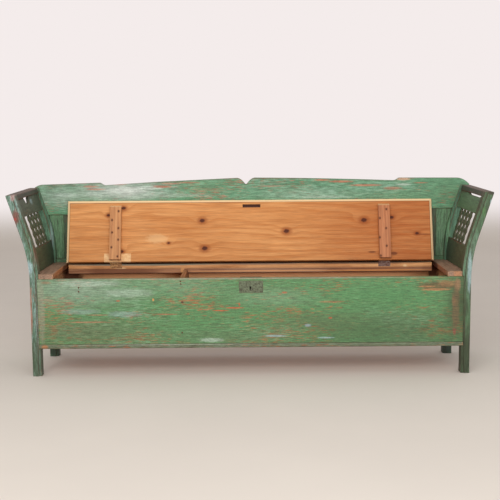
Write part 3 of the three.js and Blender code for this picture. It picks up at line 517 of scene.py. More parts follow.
def strike_slot_shade(nodes, lid):
    """Painted shade on the walls of the slot that the bolt enters, from their bounds in the lid's axes."""
    along, across, out = nodes.split(lid)
    return nodes.times(
        nodes.spread(out, 0.0115, 0.0125),
        nodes.spread(out, 0.0272, 0.0268),
        nodes.spread(along, -0.05, -0.045),
        nodes.spread(along, 0.065, 0.06),
        nodes.spread(across, 0.255, 0.26),
        nodes.spread(across, 0.292, 0.288),
    )


# Spots on the underside in the lid's own axes: dark streaks beside knots, and a pale place
LID_SPOTS = [
    ((0.590, 0.042, LID_UNDERSIDE), (0.026, 0.006, 0.03), "knot", 0.7, 0.9),
    ((0.696, 0.034, LID_UNDERSIDE), (0.022, 0.011, 0.03), "knot", 0.7, 1.0),
    ((0.845, 0.128, LID_UNDERSIDE), (0.05, 0.006, 0.03), "knot", 0.35, 0.8),
    ((-0.45, 0.115, LID_UNDERSIDE), (0.07, 0.03, 0.03), "fresh", 0.35, 1.0),
]
SEAT_COATS = ("seat_brown", "taupe", "worn_brown", "ochre", "ochre")


def knotty_pine(nodes, lid):
    """The lid's grain, warmer to the right and bent round its knots, with their rings and hearts."""
    heart, ring, push = 0.0, 0.0, 0.0
    for x, y, radius in LID_KNOTS:
        knot = nodes.group("Pine knot", vector=lid, centre=(x, y, 0), radius=radius)
        heart = nodes.larger(knot["Heart"], heart)
        ring = nodes.larger(knot["Ring"], ring)
        push = nodes.plus(knot["Push"], push)
    warm = nodes.spread(nodes.split(lid)[0], 0.1, 0.8)
    light = nodes.blend(warm, "honey", nodes.blend(0.55, "honey", "russet"))
    dark = nodes.blend(warm, "amber", "russet")
    wood = nodes.group("Pine grain", vector=lid, light=light, dark=dark, rings=22.0, push=push)
    tone = nodes.blend(nodes.times(ring, 0.7), wood["Colour"], nodes.blend(0.3, "russet", "knot"))
    return wood, nodes.blend(nodes.times(heart, 0.95), tone, nodes.blend(0.3, "knot", "#1c0802"))


def lay_pale_place_and_chamfer_light(nodes, tone, lid):
    """The pale place by the left hinge, a painted highlight along the chamfer of the free edge and the ends,
    and a painted shade line where the chamfer meets the flat.
    """
    along, across = nodes.split(lid)[:2]
    pale = nodes.minus(PALE_HALF, nodes.maths("ABSOLUTE", nodes.minus(along, PALE_MIDDLE)))
    pale = nodes.smaller(pale, nodes.minus(PALE_REACH, across))
    stain = nodes.spread(nodes.noise(lid, 60, 4), 0.35, 0.65, 0.45, 0.85)
    tone = nodes.blend(nodes.times(nodes.spread(pale, 0.0, 0.0015), stain), tone, "fresh")
    side = nodes.minus(LID_HALF, nodes.maths("ABSOLUTE", along))
    rim = nodes.smaller(side, nodes.minus(LID_BREADTH, across))
    chamfer_highlight = nodes.spread(rim, 0.0128, 0.0105)
    chamfer_shade_line = nodes.times(nodes.spread(rim, 0.009, 0.0112), nodes.spread(rim, 0.0152, 0.0125))
    # Painted highlight on the chamfer, and a painted shade line where it meets the flat
    tone = nodes.blend(nodes.times(chamfer_highlight, 0.95), tone, "#f8d3a2")
    return nodes.blend(nodes.times(chamfer_shade_line, 0.5), tone, "knot")


def lid_pine():
    """The lid's bare underside with its knots and marks, painted highlight and shade round its chamfer,
    painted shade in the strike slot, and the worn paint of its top.
    """
    material, nodes, shader, place = start_material("lid_underside")
    lid = nodes.place(place, turn=(LID_TURN, 0, 0), shift=LID_PIN, kind="TEXTURE")
    wood, tone = knotty_pine(nodes, lid)
    tone = lay_patches(nodes, tone, lid, LID_SPOTS)
    tone = lay_pale_place_and_chamfer_light(nodes, tone, lid)
    # Painted shade darkens the strike slot's walls
    tone = nodes.blend(nodes.times(strike_slot_shade(nodes, lid), 0.96), tone, "#3d1c16")
    seat = old_paint(nodes, lid, SEAT_COATS, (0.5, 0.5, 0.35), 0.0)
    top = nodes.spread(nodes.split(lid)[2], 0.0075, 0.0060)
    tone = nodes.blend(top, tone, nodes.darken(seat["Colour"], seat["Lines"]))
    finish_pine(nodes, shader, tone, wood)
    return material


def batten_pine(name, nails, light, dark):
    """A batten's pine with the rust that its nails left, and a painted highlight on its bevelled end."""
    material, nodes, shader, place = start_material(name)
    lid = nodes.place(place, turn=(LID_TURN, 0, 0), shift=LID_PIN, kind="TEXTURE")
    grain = nodes.place(lid, turn=(0, 0, -math.pi / 2))
    edge = nodes.group("Edge wear", vector=grain, width=0.004, amount=0.5)["Edge"]
    wood = nodes.group("Pine grain", vector=grain, light=light, dark=dark, rings=60.0)
    stains = [((x, y, BATTEN_FACE), (0.008, 0.010, 0.02), "knot", 0.55, 0.8) for x, y in nails]
    tone = lay_patches(nodes, wood["Colour"], lid, stains)
    # A painted highlight on the batten's bevelled end
    end = nodes.spread(nodes.split(lid)[1], 0.268, 0.274)
    tone = nodes.blend(nodes.times(end, 0.7), tone, "fresh")
    tone = nodes.blend(nodes.times(edge, 0.4), tone, "inside_dark")
    finish_pine(nodes, shader, tone, wood)
    return material


def iron_metal(name, iron, rust, rusting):
    material, nodes, shader, place = start_material(name)
    skin = nodes.group("Iron skin", vector=place, iron=iron, rust=rust, rusting=rusting)
    nodes.feed(shader.inputs["Metallic"], skin["Metal"])
    finish_shader(nodes, shader, skin["Colour"], skin, IRON_RELIEF)
    return material


def clear_selection():
    if bpy.context.object and bpy.context.object.mode != "OBJECT":
        bpy.ops.object.mode_set(mode="OBJECT")
    bpy.ops.object.select_all(action="DESELECT")


def choose(piece):
    clear_selection()
    piece.select_set(True)
    bpy.context.view_layer.objects.active = piece


def pick(piece, test, element="edges"):
    """In edit mode, selects the faces or edges that pass a test and nothing else."""
    bpy.ops.mesh.select_mode(type="EDGE" if element == "edges" else "FACE")
    bpy.ops.mesh.select_all(action="DESELECT")
    mesh = bmesh.from_edit_mesh(piece.data)
    chosen = [part for part in getattr(mesh, element) if test(part)]
    for part in chosen:
        part.select_set(True)
    bmesh.update_edit_mesh(piece.data)
    return len(chosen)


# Points nearer than this are one, and turns between faces that are flat, bent, sharp or shaded smooth
SAME_POINT = 0.00002
FLAT_TURN = math.radians(0.6)
BENT_TURN = math.radians(20)
SHARP_TURN = math.radians(25)
SMOOTH_TURN = math.radians(32)
# The shortest edge that is rounded, in widths of the round
ROOM = 2.4


def crowded(edge, width):
    """Whether a side of a notch ends too near an edge for it to be rounded."""
    along = (edge.verts[1].co - edge.verts[0].co).normalized()
    for vert in edge.verts:
        for near in vert.link_edges:
            if near == edge or near.calc_length() > ROOM * width:
                continue
            across = (near.verts[1].co - near.verts[0].co).normalized()
            if abs(along.dot(across)) < 0.85:
                return True
    return False


def arris(edge, width):
    """Whether an edge is a free outward arris that hands and boots would round."""
    if len(edge.link_faces) != 2 or edge.calc_length() < ROOM * width:
        return False
    return edge.calc_face_angle_signed(0) > SHARP_TURN and not crowded(edge, width)


def broad(face):
    """Whether a face is a board's flat side and not part of a rounded arris or a bent outline."""
    area = face.calc_area()
    if area < 0.0003:
        return False
    for edge in face.edges:
        if len(edge.link_faces) != 2 or not 0.005 < edge.calc_face_angle(0) < BENT_TURN:
            continue
        if all(side.calc_area() > 0.25 * area for side in edge.link_faces):
            return False
    return True


def round_off(width, steps, **options):
    """Bevels the chosen edges."""
    bpy.ops.mesh.bevel(offset=width, offset_type="OFFSET", segments=steps, profile=0.5, **options)


def worn_copy(node, width, extra=None):
    """A copy of a solid with its faces joined up and its free arrises worn round."""
    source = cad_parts[node]
    piece = bpy.data.objects.new(f"{node}_worn", source.data.copy())
    bpy.context.scene.collection.objects.link(piece)
    choose(piece)
    bpy.ops.object.mode_set(mode="EDIT")
    bpy.ops.mesh.select_all(action="SELECT")
    bpy.ops.mesh.remove_doubles(threshold=SAME_POINT)
    bpy.ops.mesh.select_all(action="SELECT")
    bpy.ops.mesh.dissolve_limited(angle_limit=FLAT_TURN)
    if extra:
        extra(piece)
    if pick(piece, lambda edge: arris(edge, width)):
        round_off(width, settings().wear.edge_steps, clamp_overlap=False)
    bpy.ops.object.mode_set(mode="OBJECT")
    bpy.ops.object.shade_smooth_by_angle(angle=SMOOTH_TURN)
    bpy.ops.object.mode_set(mode="EDIT")
    pick(piece, broad, "faces")
    bpy.ops.mesh.faces_shade_flat()
    bpy.ops.object.mode_set(mode="OBJECT")
    return piece


def dress(piece, material, slot, body, *nodes):
    """Gives a new piece its finish, its body and the solids that it stands for."""
    piece.data.materials.clear()
    piece.data.materials.append(material)
    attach(piece, body)
    if nodes:
        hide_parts(*nodes)


def dress_worn(node, width, material, slot, body="bench", extra=None):
    """Replaces a solid by its worn and finished copy."""
    dress(worn_copy(node, width, extra), material, slot, body, node)


def dress_solid(node, material):
    """Gives a carried-over solid its finish."""
    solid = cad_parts[node]
    solid.data.materials.clear()
    solid.data.materials.append(material)


SIDES = ("left", "right")
# The splats' and the lid's worn edges as shares of the usual one
SPLAT_SHARE = 0.6
LID_SHARE = 0.7
# The lock plate's worn edge, and its pins: how far in from its sides, how deep and how wide beside a nail
PLATE_EDGE = 0.0007
PIN_INSET = 0.008
PIN_SINK = 0.0004
PIN_SHARE = 0.8
FACING_FRONT = Matrix.Rotation(math.pi / 2, 4, "X")


class SETTLE_OT_node_groups(Operator):
    """Make the shared wear, grain and iron patterns"""

    bl_idname = "settle.node_groups"
    bl_label = "Surface Patterns"

    def execute(self, context):
        make_edge_wear()
        make_worn_patch()
        make_distressed_paint()
        make_pine_grain()
        make_pine_knot()
        make_iron_skin()
        return {"FINISHED"}


# Places along Y of the faces that carry marks
FRONT_FACE = -0.211
CREST_FACE = 0.186
POST_FRONT = -0.2
POST_BACK = 0.19
POST_FOOT = 0.17
RAIL_FACE = 0.098
RAIL_MIDDLE = 0.14
BEARER_FACE = 0.1

# How far chips, small marks, broad tones and deep shades reach before and behind a face
RAIL_CHIP_DEPTH = 0.02
MARK_DEPTH = 0.03
TONE_DEPTH = 0.1
SHADE_DEPTH = 0.2

BRIGHT_RED = "#c3502c"
DULL_RED = "#b5674a"
DULL_PINK = "#b7846f"


def marks(y, deep, rows):
    """Marks round one face: place and reach along X and Z, colour, strength and raggedness."""
    return [((x, y, z), (wide, deep, high), *rest) for x, z, wide, high, *rest in rows]


LEFT_POST_MARKS = [
    (-1.066, 0.824, 0.013, 0.022, "#b3928e", 0.8, 1.0),
    (-1.056, 0.733, 0.021, 0.045, "#7c3f33", 0.8, 1.1),
    (-1.058, 0.726, 0.008, 0.01, "#a8362e", 0.75, 1.2),
    (-1.002, 0.505, 0.018, 0.04, "post_blue", 0.75, 1.1),
    (-1.0, 0.30, 0.006, 0.13, "primer", 0.55, 1.4),
    (-0.975, 0.62, 0.012, 0.14, "worn_brown", 0.6, 1.0),
]
RIGHT_POST_MARKS = [
    (1.085, 0.828, 0.02, 0.01, "#35241c", 0.8, 0.6),
    (1.085, 0.785, 0.008, 0.02, "post_blue", 0.7, 1.0),
    (1.055, 0.745, 0.012, 0.03, "#4f8040", 0.5, 1.3),
    (0.995, 0.47, 0.014, 0.12, "post_blue", 0.6, 1.3),
]
# Painted shade: darker feet of the front posts, and a darker place on the right post below its arm
LEFT_POST_SHADE = [(-0.985, 0.08, 0.04, 0.12, "#4a5540", 0.65, 1.2)]
RIGHT_POST_SHADE = [
    (0.985, 0.09, 0.05, 0.14, "#2f381f", 0.8, 1.0),
    (1.075, 0.70, 0.03, 0.11, "#3d4d31", 0.65, 1.0),
]
REAR_COATS = ("#477054", "#7d9e92", "#33462f", "worn_brown", "inside_dark")
REAR_WEAR = (0.4, 0.45, 0.2, 0.3)

# Each post's coats, shares of wear, marks, and the colours of faces turned a given way: painted shade on a
# front post's inner side, and wear on its top
POSTS = {
    "front_post_left": (
        ("post_green", "post_blue", "#485437", "primer", "worn_brown"),
        (0.5, 0.6, 0.36, 0.45),
        marks(POST_FRONT, TONE_DEPTH, LEFT_POST_MARKS) + marks(POST_FRONT, SHADE_DEPTH, LEFT_POST_SHADE),
        # Painted shade on the inner side, and a worn top
        [((1, 0, 0), "#565443", 0.8), ((0, 0, 1), "#6b4a3d", 0.7)],
    ),
    "front_post_right": (
        ("#446540", "#7c9a88", "#3c4429", "worn_brown", "#553a2a"),
        (0.36, 0.6, 0.36, 0.35),
        marks(POST_FRONT, TONE_DEPTH, RIGHT_POST_MARKS) + marks(POST_FRONT, SHADE_DEPTH, RIGHT_POST_SHADE),
        # Painted shade on the inner side, and a worn top
        [((-1, 0, 0), "#4b4133", 0.8), ((0, 0, 1), "#6b4a3d", 0.7)],
    ),
    "rear_post_left": (
        REAR_COATS,
        REAR_WEAR,
        # A painted highlight: a pale strip along the inner front edge
        marks(POST_BACK, TONE_DEPTH, [(-0.975, 0.62, 0.011, 0.14, "post_blue", 0.3, 1.3)])
        # Painted shade darkening the foot
        + marks(POST_FOOT, TONE_DEPTH, [(-0.95, 0.05, 0.1, 0.1, "#26301f", 0.8, 0.8)]),
        (),
    ),
    "rear_post_right": (
        REAR_COATS,
        REAR_WEAR,
        # A painted highlight: a pale strip along the inner front edge
        marks(POST_BACK, TONE_DEPTH, [(0.975, 0.62, 0.012, 0.16, "#6c9a70", 0.6, 1.1)])
        # Painted shade darkening the foot
        + marks(POST_FOOT, TONE_DEPTH, [(0.95, 0.05, 0.1, 0.1, "#1f241a", 0.85, 0.8)]),
        (),
    ),
}


class SETTLE_OT_posts(Operator):
    """Wear the four posts and paint them"""

    bl_idname = "settle.posts"
    bl_label = "Posts"

    def execute(self, context):
        for index, (node, (coats, wear, spots, sides)) in enumerate(POSTS.items()):
            paint = painted_wood(f"{node}_paint", "z", coats, wear, spots, sides=sides, seed=index * 1.7)
            dress_worn(node, settings().wear.edge, paint, "post_paint")
        return {"FINISHED"}


# Coats and shares of wear of the arm rails, of each side's scalloped rail, and of the other fretwork
ARM_RAIL = (("#3a3c2e", "#5a5548", "#2f2d22", "#7c4a3c", "#8a4c3c"), (0.35, 0.5, 0.4, 0.95))
ARM_RAIL_TOP = [((0, 0, 1), "#6e594c", 0.9)]
LEFT_FRET = (("#4f5645", "#7c7f70", "#353a2a", "worn_brown", "worn_brown"), (0.35, 0.5, 0.3, 0.35))
LEFT_FRET_MARKS = [((-1.03, 0.03, 0.79), (0.02, 0.03, 0.02), "post_blue", 0.6, 1.0)]
RIGHT_FRET = (("#5a7453", "#83977d", "#3d4a33", "worn_brown", "worn_brown"), (0.35, 0.4, 0.25, 0.35))
# The lower arm boards and splats take the fretwork's green, darkened with painted shade
FRET_COATS = ("fret_green_with_painted_shade", "#7d8b76", "#353a2a", "worn_brown", "worn_brown")


class SETTLE_OT_arms(Operator):
    """Wear the arm rails, fretwork and lower arm boards and paint them"""

    bl_idname = "settle.arms"
    bl_label = "Arms"

    def execute(self, context):
        rail = painted_wood("arm_rail_worn_paint", "y", *ARM_RAIL, sides=ARM_RAIL_TOP, seed=2.1)
        fret = {
            "left": painted_wood("fret_paint_left", "y", *LEFT_FRET, LEFT_FRET_MARKS, seed=3.3),
            "right": painted_wood("fret_paint_right", "y", *RIGHT_FRET, seed=5.1),
        }
        low = painted_wood("lower_arm_paint", "y", FRET_COATS, (0.22, 0.55, 0.2, 0.85), seed=4.4)
        splat = painted_wood("splat_paint", "z", FRET_COATS, (0.3, 0.5, 0.35, 0.5), seed=6.2)
        wear = settings().wear
        for side in SIDES:
            dress_worn(f"arm_rail_{side}", wear.hand_edge, rail, "arm_rail_paint")
            dress_worn(f"arm_scalloped_rail_{side}", wear.edge, fret[side], "arm_panel_paint")
            dress_worn(f"arm_bottom_rail_{side}", wear.edge, low, "arm_panel_paint")
            for index in range(1, 5):
                dress_worn(f"arm_splat_{side}_{index}", wear.edge * SPLAT_SHARE, splat, "arm_panel_paint")
        return {"FINISHED"}


BOARD_COATS = ("green", "mint", "olive", "primer", "worn_brown")
FRONT_MARKS = [
    (-0.955, 0.31, 0.02, 0.2, "#8f8f7a", 0.6, 1.2),
    (-0.93, 0.435, 0.03, 0.008, "#a0694a", 0.45, 1.6),
    (-0.74, 0.43, 0.18, 0.018, "mint", 0.42, 1.5),
    (-0.56, 0.385, 0.14, 0.025, "mint", 0.4, 1.6),
    (-0.58, 0.287, 0.1, 0.018, "#93a8a2", 0.5, 1.5),
    (-0.78, 0.30, 0.12, 0.016, "#93a8a2", 0.4, 1.5),
    (-0.182, 0.164, 0.07, 0.013, "mint", 0.6, 1.3),
    (-0.075, 0.313, 0.055, 0.004, BRIGHT_RED, 0.9, 1.2),
    (-0.14, 0.301, 0.05, 0.0035, BRIGHT_RED, 0.85, 1.2),
    (-0.21, 0.306, 0.04, 0.003, "#b0684a", 0.7, 1.4),
    (-0.052, 0.328, 0.005, 0.011, BRIGHT_RED, 0.7, 1.8),
    (-0.39, 0.285, 0.07, 0.004, "#b0684a", 0.7, 1.4),
    (-0.284, 0.347, 0.04, 0.003, BRIGHT_RED, 0.7, 1.2),
    (-0.604, 0.349, 0.012, 0.005, "#c06a45", 0.8, 1.0),
    (-0.444, 0.353, 0.006, 0.008, "#d79a55", 0.95, 0.6),
    (-0.735, 0.251, 0.13, 0.0045, "#b27b5a", 0.65, 1.4),
    (-0.7, 0.284, 0.06, 0.004, "#b0785a", 0.6, 1.4),
    (0.154, 0.382, 0.016, 0.006, "#b96a45", 0.8, 1.0),
    (0.363, 0.338, 0.07, 0.006, "#ab6c4a", 0.55, 1.5),
    (0.363, 0.263, 0.012, 0.006, BRIGHT_RED, 0.7, 1.0),
    (0.26, 0.229, 0.02, 0.009, "#93a3ac", 0.65, 0.9),
    (0.111, 0.181, 0.06, 0.006, "#a4bcc0", 0.7, 1.2),
    (0.342, 0.171, 0.05, 0.005, "#a4bcc0", 0.6, 1.3),
    (0.84, 0.408, 0.11, 0.024, "#5f4b2a", 0.85, 1.3),
    (0.84, 0.391, 0.085, 0.0075, "#a8774b", 0.9, 1.5),
    (0.80, 0.405, 0.05, 0.005, "#b08051", 0.75, 1.6),
    (0.895, 0.418, 0.06, 0.02, "#8f6c45", 0.75, 1.6),
    (0.942, 0.412, 0.018, 0.038, "#93714f", 0.85, 1.3),
    (-0.312, 0.341, 0.009, 0.005, "#43262a", 0.9, 0.8),
    (0.935, 0.30, 0.022, 0.15, "#6e5538", 0.7, 1.6),
    (0.925, 0.34, 0.012, 0.03, "#7d5c3e", 0.6, 1.4),
    (0.931, 0.195, 0.009, 0.02, "#94463a", 0.6, 1.3),
    # Worn paint along the top edge, with a painted highlight on it
    (0.0, 0.448, 0.97, 0.0035, "#b3a396", 0.5, 1.3),
]
FRONT_TONES = [
    (-0.80, 0.40, 0.42, 0.13, "#93a392", 0.62, 0.5),
    (-0.35, 0.42, 0.35, 0.1, "#86a084", 0.4, 0.5),
    (-0.75, 0.20, 0.5, 0.10, "#5f6d49", 0.75, 0.6),
    (-0.1, 0.17, 0.5, 0.07, "#5e7550", 0.6, 0.6),
    (0.62, 0.36, 0.4, 0.13, "#4e8650", 0.6, 0.5),
    (0.3, 0.24, 0.4, 0.08, "#5f6a46", 0.55, 0.9),
    (0.66, 0.19, 0.62, 0.16, "#455f39", 0.72, 0.9),
    (0.10, 0.36, 0.30, 0.07, "#86a283", 0.4, 0.7),
    (0.97, 0.33, 0.14, 0.3, "#35421f", 0.85, 0.5),
]
BEAD_MARKS = [
    (-0.945, 0.137, 0.02, 0.012, "#b0774c", 0.85, 0.7),
    (0.34, 0.121, 0.09, 0.005, "#b87a45", 0.8, 1.4),
    (0.10, 0.121, 0.06, 0.004, "#b87a45", 0.7, 1.4),
    (0.62, 0.121, 0.10, 0.004, "#a06a42", 0.7, 1.4),
    (-0.3, 0.121, 0.16, 0.004, "#a06a42", 0.65, 1.5),
    (-0.4, 0.1445, 0.56, 0.002, "#aab0a0", 0.5, 0.9),
]


# Coats and shares of wear of the front board, its bead and the box's end boards
FRONT_BOARD = (BOARD_COATS, (0.3, 0.5, 0.5, 0.4))
BEAD = (("#66745a", "#98a592", "#585840", "primer", "ochre"), (0.35, 0.55, 0.5, 0.75))
END_BOARDS = (BOARD_COATS, (0.3, 0.6, 0.4, 0.4))


class SETTLE_OT_box_front(Operator):
    """Wear the front board, its bead and the box's end boards and paint them"""

    bl_idname = "settle.box_front"
    bl_label = "Box Front"

    def execute(self, context):
        wear = settings().wear
        spots = marks(FRONT_FACE, MARK_DEPTH, FRONT_MARKS)
        tones = marks(FRONT_FACE, TONE_DEPTH, FRONT_TONES)
        board = painted_wood("front_board_paint", "x", *FRONT_BOARD, spots, tones, bare_back=True)
        dress_worn("front_board", wear.edge, board, "board_paint")
        spots = marks(FRONT_FACE, MARK_DEPTH, BEAD_MARKS)
        bead = painted_wood("bead_paint", "x", *BEAD, spots, bare_back=True, seed=7.7)

        def round_nose(piece):
            """Rounds the bead's two long front edges more than its ends."""
            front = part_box("front_bottom_bead")[0].y

            def nose(edge):
                return edge.calc_length() > 1 and all(vert.co.y < front + 0.001 for vert in edge.verts)

            pick(piece, nose)
            round_off(wear.bead_round, 5)

        dress_worn("front_bottom_bead", wear.edge, bead, "board_paint", extra=round_nose)
        ends = painted_wood("end_board_paint", "y", *END_BOARDS, seed=8.8)
        for side in SIDES:
            dress_worn(f"box_end_board_{side}", wear.edge, ends, "board_paint")
        return {"FINISHED"}


# Half the back board's thickness, so that its marks of painted light and shade stay on the inner face
BACK_BOARD_DEPTH = 0.012
BACK_BOARD_LIGHT_AND_SHADE = [
    # Painted light: a pale strip on the inner face below the bearer
    (0.0, 0.40, 1.4, 0.045, "#f6b984", 1.0, 0.2),
    # Painted shade in the two far corners
    (-0.88, 0.40, 0.07, 0.08, "#4a1c10", 0.9, 0.8),
    (0.905, 0.40, 0.035, 0.08, "#4a2212", 0.85, 0.8),
]
BEARER_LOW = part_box("hinge_rail_bearer")[0].z
BEARER_MARKS_AND_SHADE = [
    # Painted shade over the bearer's left part, beside the partition
    (-0.62, 0.44, 0.26, 0.08, "#6b3f2a", 0.6, 0.5),
    (-0.33, 0.44, 0.012, 0.05, "#dca068", 0.8, 0.9),
    (0.1, 0.44, 0.35, 0.08, "#c89b78", 0.5, 0.8),
    (0.62, 0.44, 0.2, 0.08, "#9a6038", 0.5, 0.8),
    (0.05, BEARER_LOW + 0.009, 0.5, 0.003, "#e0a26c", 0.75, 1.3),
    (0.62, BEARER_LOW + 0.008, 0.35, 0.003, "#d8934f", 0.8, 1.3),
    (0.3, BEARER_LOW + 0.017, 0.8, 0.002, "#4a2014", 0.8, 1.1),
    # A painted shadow line along the bearer's lower edge
    (0.0, BEARER_LOW, 2.5, 0.0035, "#1c0a05", 0.95, 0.3),
]


class SETTLE_OT_box_inside(Operator):
    """Give the boards inside the box and its back their bare pine"""

    bl_idname = "settle.box_inside"
    bl_label = "Box Inside"

    def execute(self, context):
        boards = pine_wood("inside_pine_long", "x", "inside", "inside_dark", 30.0)
        spots = marks(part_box("box_back_board")[0].y, BACK_BOARD_DEPTH, BACK_BOARD_LIGHT_AND_SHADE)
        back = pine_wood("box_back_pine", "x", "inside", "#8f5a3c", 30.0, spots, seed=4.9)
        dress_solid("box_back_board", back)
        for place in ("board_1", "board_2", "board_3", "ledger_front", "ledger_back"):
            dress_solid(f"floor_{place}", boards)
        spots = marks(BEARER_FACE, SHADE_DEPTH, BEARER_MARKS_AND_SHADE)
        bearer = pine_wood("bearer_pine", "x", "#b98562", "#6f4128", 34.0, spots, seed=1.2)
        dress_solid("hinge_rail_bearer", bearer)
        cross = pine_wood("partition_pine", "y", "#b07f58", "inside_dark", 30.0, seed=2.4)
        dress_worn("partition", settings().wear.edge, cross, "inside_pine")
        return {"FINISHED"}


SEAT_WEAR_AND_SHADE = [
    ((-0.897, -0.02, 0.46), (0.006, 0.25, 0.03), "#c08050", 0.8, 0.6),
    ((0.897, -0.02, 0.46), (0.006, 0.25, 0.03), "#9a5f3c", 0.7, 0.6),
    # Painted shade on the back parts of the inner edges, next to the hinge rail
    ((-0.897, 0.06, 0.458), (0.006, 0.06, 0.03), "#4a2414", 0.85, 0.9),
    ((0.897, 0.07, 0.458), (0.006, 0.07, 0.03), "#3a1a10", 0.9, 0.9),
    ((0.94, -0.215, 0.462), (0.025, 0.02, 0.03), "#b07a52", 0.85, 0.7),
    ((-0.94, -0.215, 0.462), (0.03, 0.02, 0.03), "#8a6f5a", 0.6, 0.9),
]
RAIL_MARKS = [
    (0.0, 0.4545, 2.5, 0.0012, "#6b3a22", 0.65, 1.4),
    (0.2, 0.4475, 0.7, 0.0016, "#4a2214", 0.75, 1.2),
    (-0.628, 0.452, 0.03, 0.008, "fresh", 0.9, 0.9),
    (0.752, 0.456, 0.012, 0.010, "fresh", 0.9, 0.7),
    (-0.5, 0.4705, 0.5, 0.0065, "#7b877b", 0.85, 0.9),
    (0.05, 0.4705, 0.25, 0.006, "#87756a", 0.8, 0.9),
    (0.55, 0.4705, 0.4, 0.0055, "#5c463a", 0.8, 0.9),
]
RAIL_TOP = [(0.0, 0.474, 2.5, 0.003, "#7d6350", 0.9, 0.4)]


# The seat ends' coats and shares of wear
SEAT_ENDS = (("#a3816a", "taupe", "worn_brown", "ochre", "ochre"), (0.4, 0.5, 0.3, 0.6))


class SETTLE_OT_seat(Operator):
    """Wear the fixed seat ends and the rail that carries the hinges"""

    bl_idname = "settle.seat"
    bl_label = "Fixed Seat"

    def execute(self, context):
        edge = settings().wear.edge
        seat = painted_wood("seat_end_paint", "y", *SEAT_ENDS, SEAT_WEAR_AND_SHADE, seed=9.1)
        for side in SIDES:
            dress_worn(f"seat_end_board_{side}", edge, seat, "worn_seat_paint")
        chips = marks(RAIL_FACE, RAIL_CHIP_DEPTH, RAIL_MARKS) + marks(RAIL_MIDDLE, SHADE_DEPTH, RAIL_TOP)
        rail = pine_wood("hinge_rail_pine", "x", "#f0b47c", "#b0703f", 36.0, chips, seed=3.6)
        dress_worn("hinge_rail", edge, rail, "inside_pine")
        return {"FINISHED"}


# Nails of each batten along the lid's X and Y
BATTEN_NAILS = {
    "left": (
        (-0.637, 0.249),
        (-0.668, 0.205),
        (-0.637, 0.165),
        (-0.667, 0.144),
        (-0.637, 0.108),
        (-0.669, 0.071),
        (-0.639, 0.026),
    ),
    "right": (
        (0.663, 0.249),
        (0.630, 0.205),
        (0.659, 0.155),
        (0.627, 0.110),
        (0.659, 0.068),
        (0.629, 0.020),
    ),
}


NAIL_THICKNESS = 0.0012
SCREW_THICKNESS = 0.0008


def start_head(sides, radius, depth):
    """A low cylinder at the origin, in edit mode."""
    clear_selection()
    bpy.ops.mesh.primitive_cylinder_add(vertices=sides, radius=radius, depth=depth, location=(0, 0, 0))
    bpy.ops.object.mode_set(mode="EDIT")
    return bpy.context.object


def nail_head(radius):
    """A cut nail's low domed head, facing up, at the origin."""
    nail = start_head(9, radius, NAIL_THICKNESS)
    pick(nail, lambda face: face.normal.z > 0.9, "faces")
    bpy.ops.mesh.inset(thickness=radius * 0.3)
    bpy.ops.transform.translate(value=(0, 0, 0.0004))
    bpy.ops.mesh.inset(thickness=radius * 0.3)
    bpy.ops.transform.translate(value=(radius * 0.08, 0, 0.0002))
    bpy.ops.object.mode_set(mode="OBJECT")
    return nail


def screw_head(radius):
    """A flat screw head with a slot across it, facing up, at the origin."""
    screw = start_head(14, radius, SCREW_THICKNESS)
    bpy.ops.mesh.select_all(action="SELECT")
    for place in (-0.16, 0.16):
        bpy.ops.mesh.bisect(plane_co=(0, radius * place, 0), plane_no=(0, 1, 0))
        bpy.ops.mesh.select_all(action="SELECT")

    def slot(face):
        return face.normal.z > 0.9 and abs(face.calc_center_median().y) < radius * 0.1

    pick(screw, slot, "faces")
    bpy.ops.mesh.inset(thickness=radius * 0.02)
    bpy.ops.transform.translate(value=(0, 0, -0.0004))
    bpy.ops.object.mode_set(mode="OBJECT")
    return screw


def spread_copies(model, name, placings):
    """Copies one small piece to each placing, each with its own mesh, and joins the copies."""
    copies = []
    for placing in placings:
        copy = bpy.data.objects.new(name, model.data.copy())
        copy.data.transform(placing)
        bpy.context.scene.collection.objects.link(copy)
        copies.append(copy)
    clear_selection()
    for copy in copies:
        copy.select_set(True)
    bpy.context.view_layer.objects.active = copies[0]
    if len(copies) > 1:
        bpy.ops.object.join()
    joined = bpy.context.object
    joined.name = name
    bpy.data.objects.remove(model)
    return joined


def lid_placing(x, y, out, spin=0.0):
    """From a piece that faces up at the origin to a place on the open lid's underside."""
    lid = Matrix.Translation(LID_PIN) @ Matrix.Rotation(LID_TURN, 4, "X")
    return lid @ Matrix.Translation((x, y, out)) @ Matrix.Rotation(spin, 4, "Z")


# How far the middle of a batten nail's head stands out of the batten
NAIL_LIFT = 0.0003
# Light and dark wood of each batten
BATTEN_WOOD = {"left": ("#cf9564", "#a56a42"), "right": ("#c4825a", "#9a5b38")}


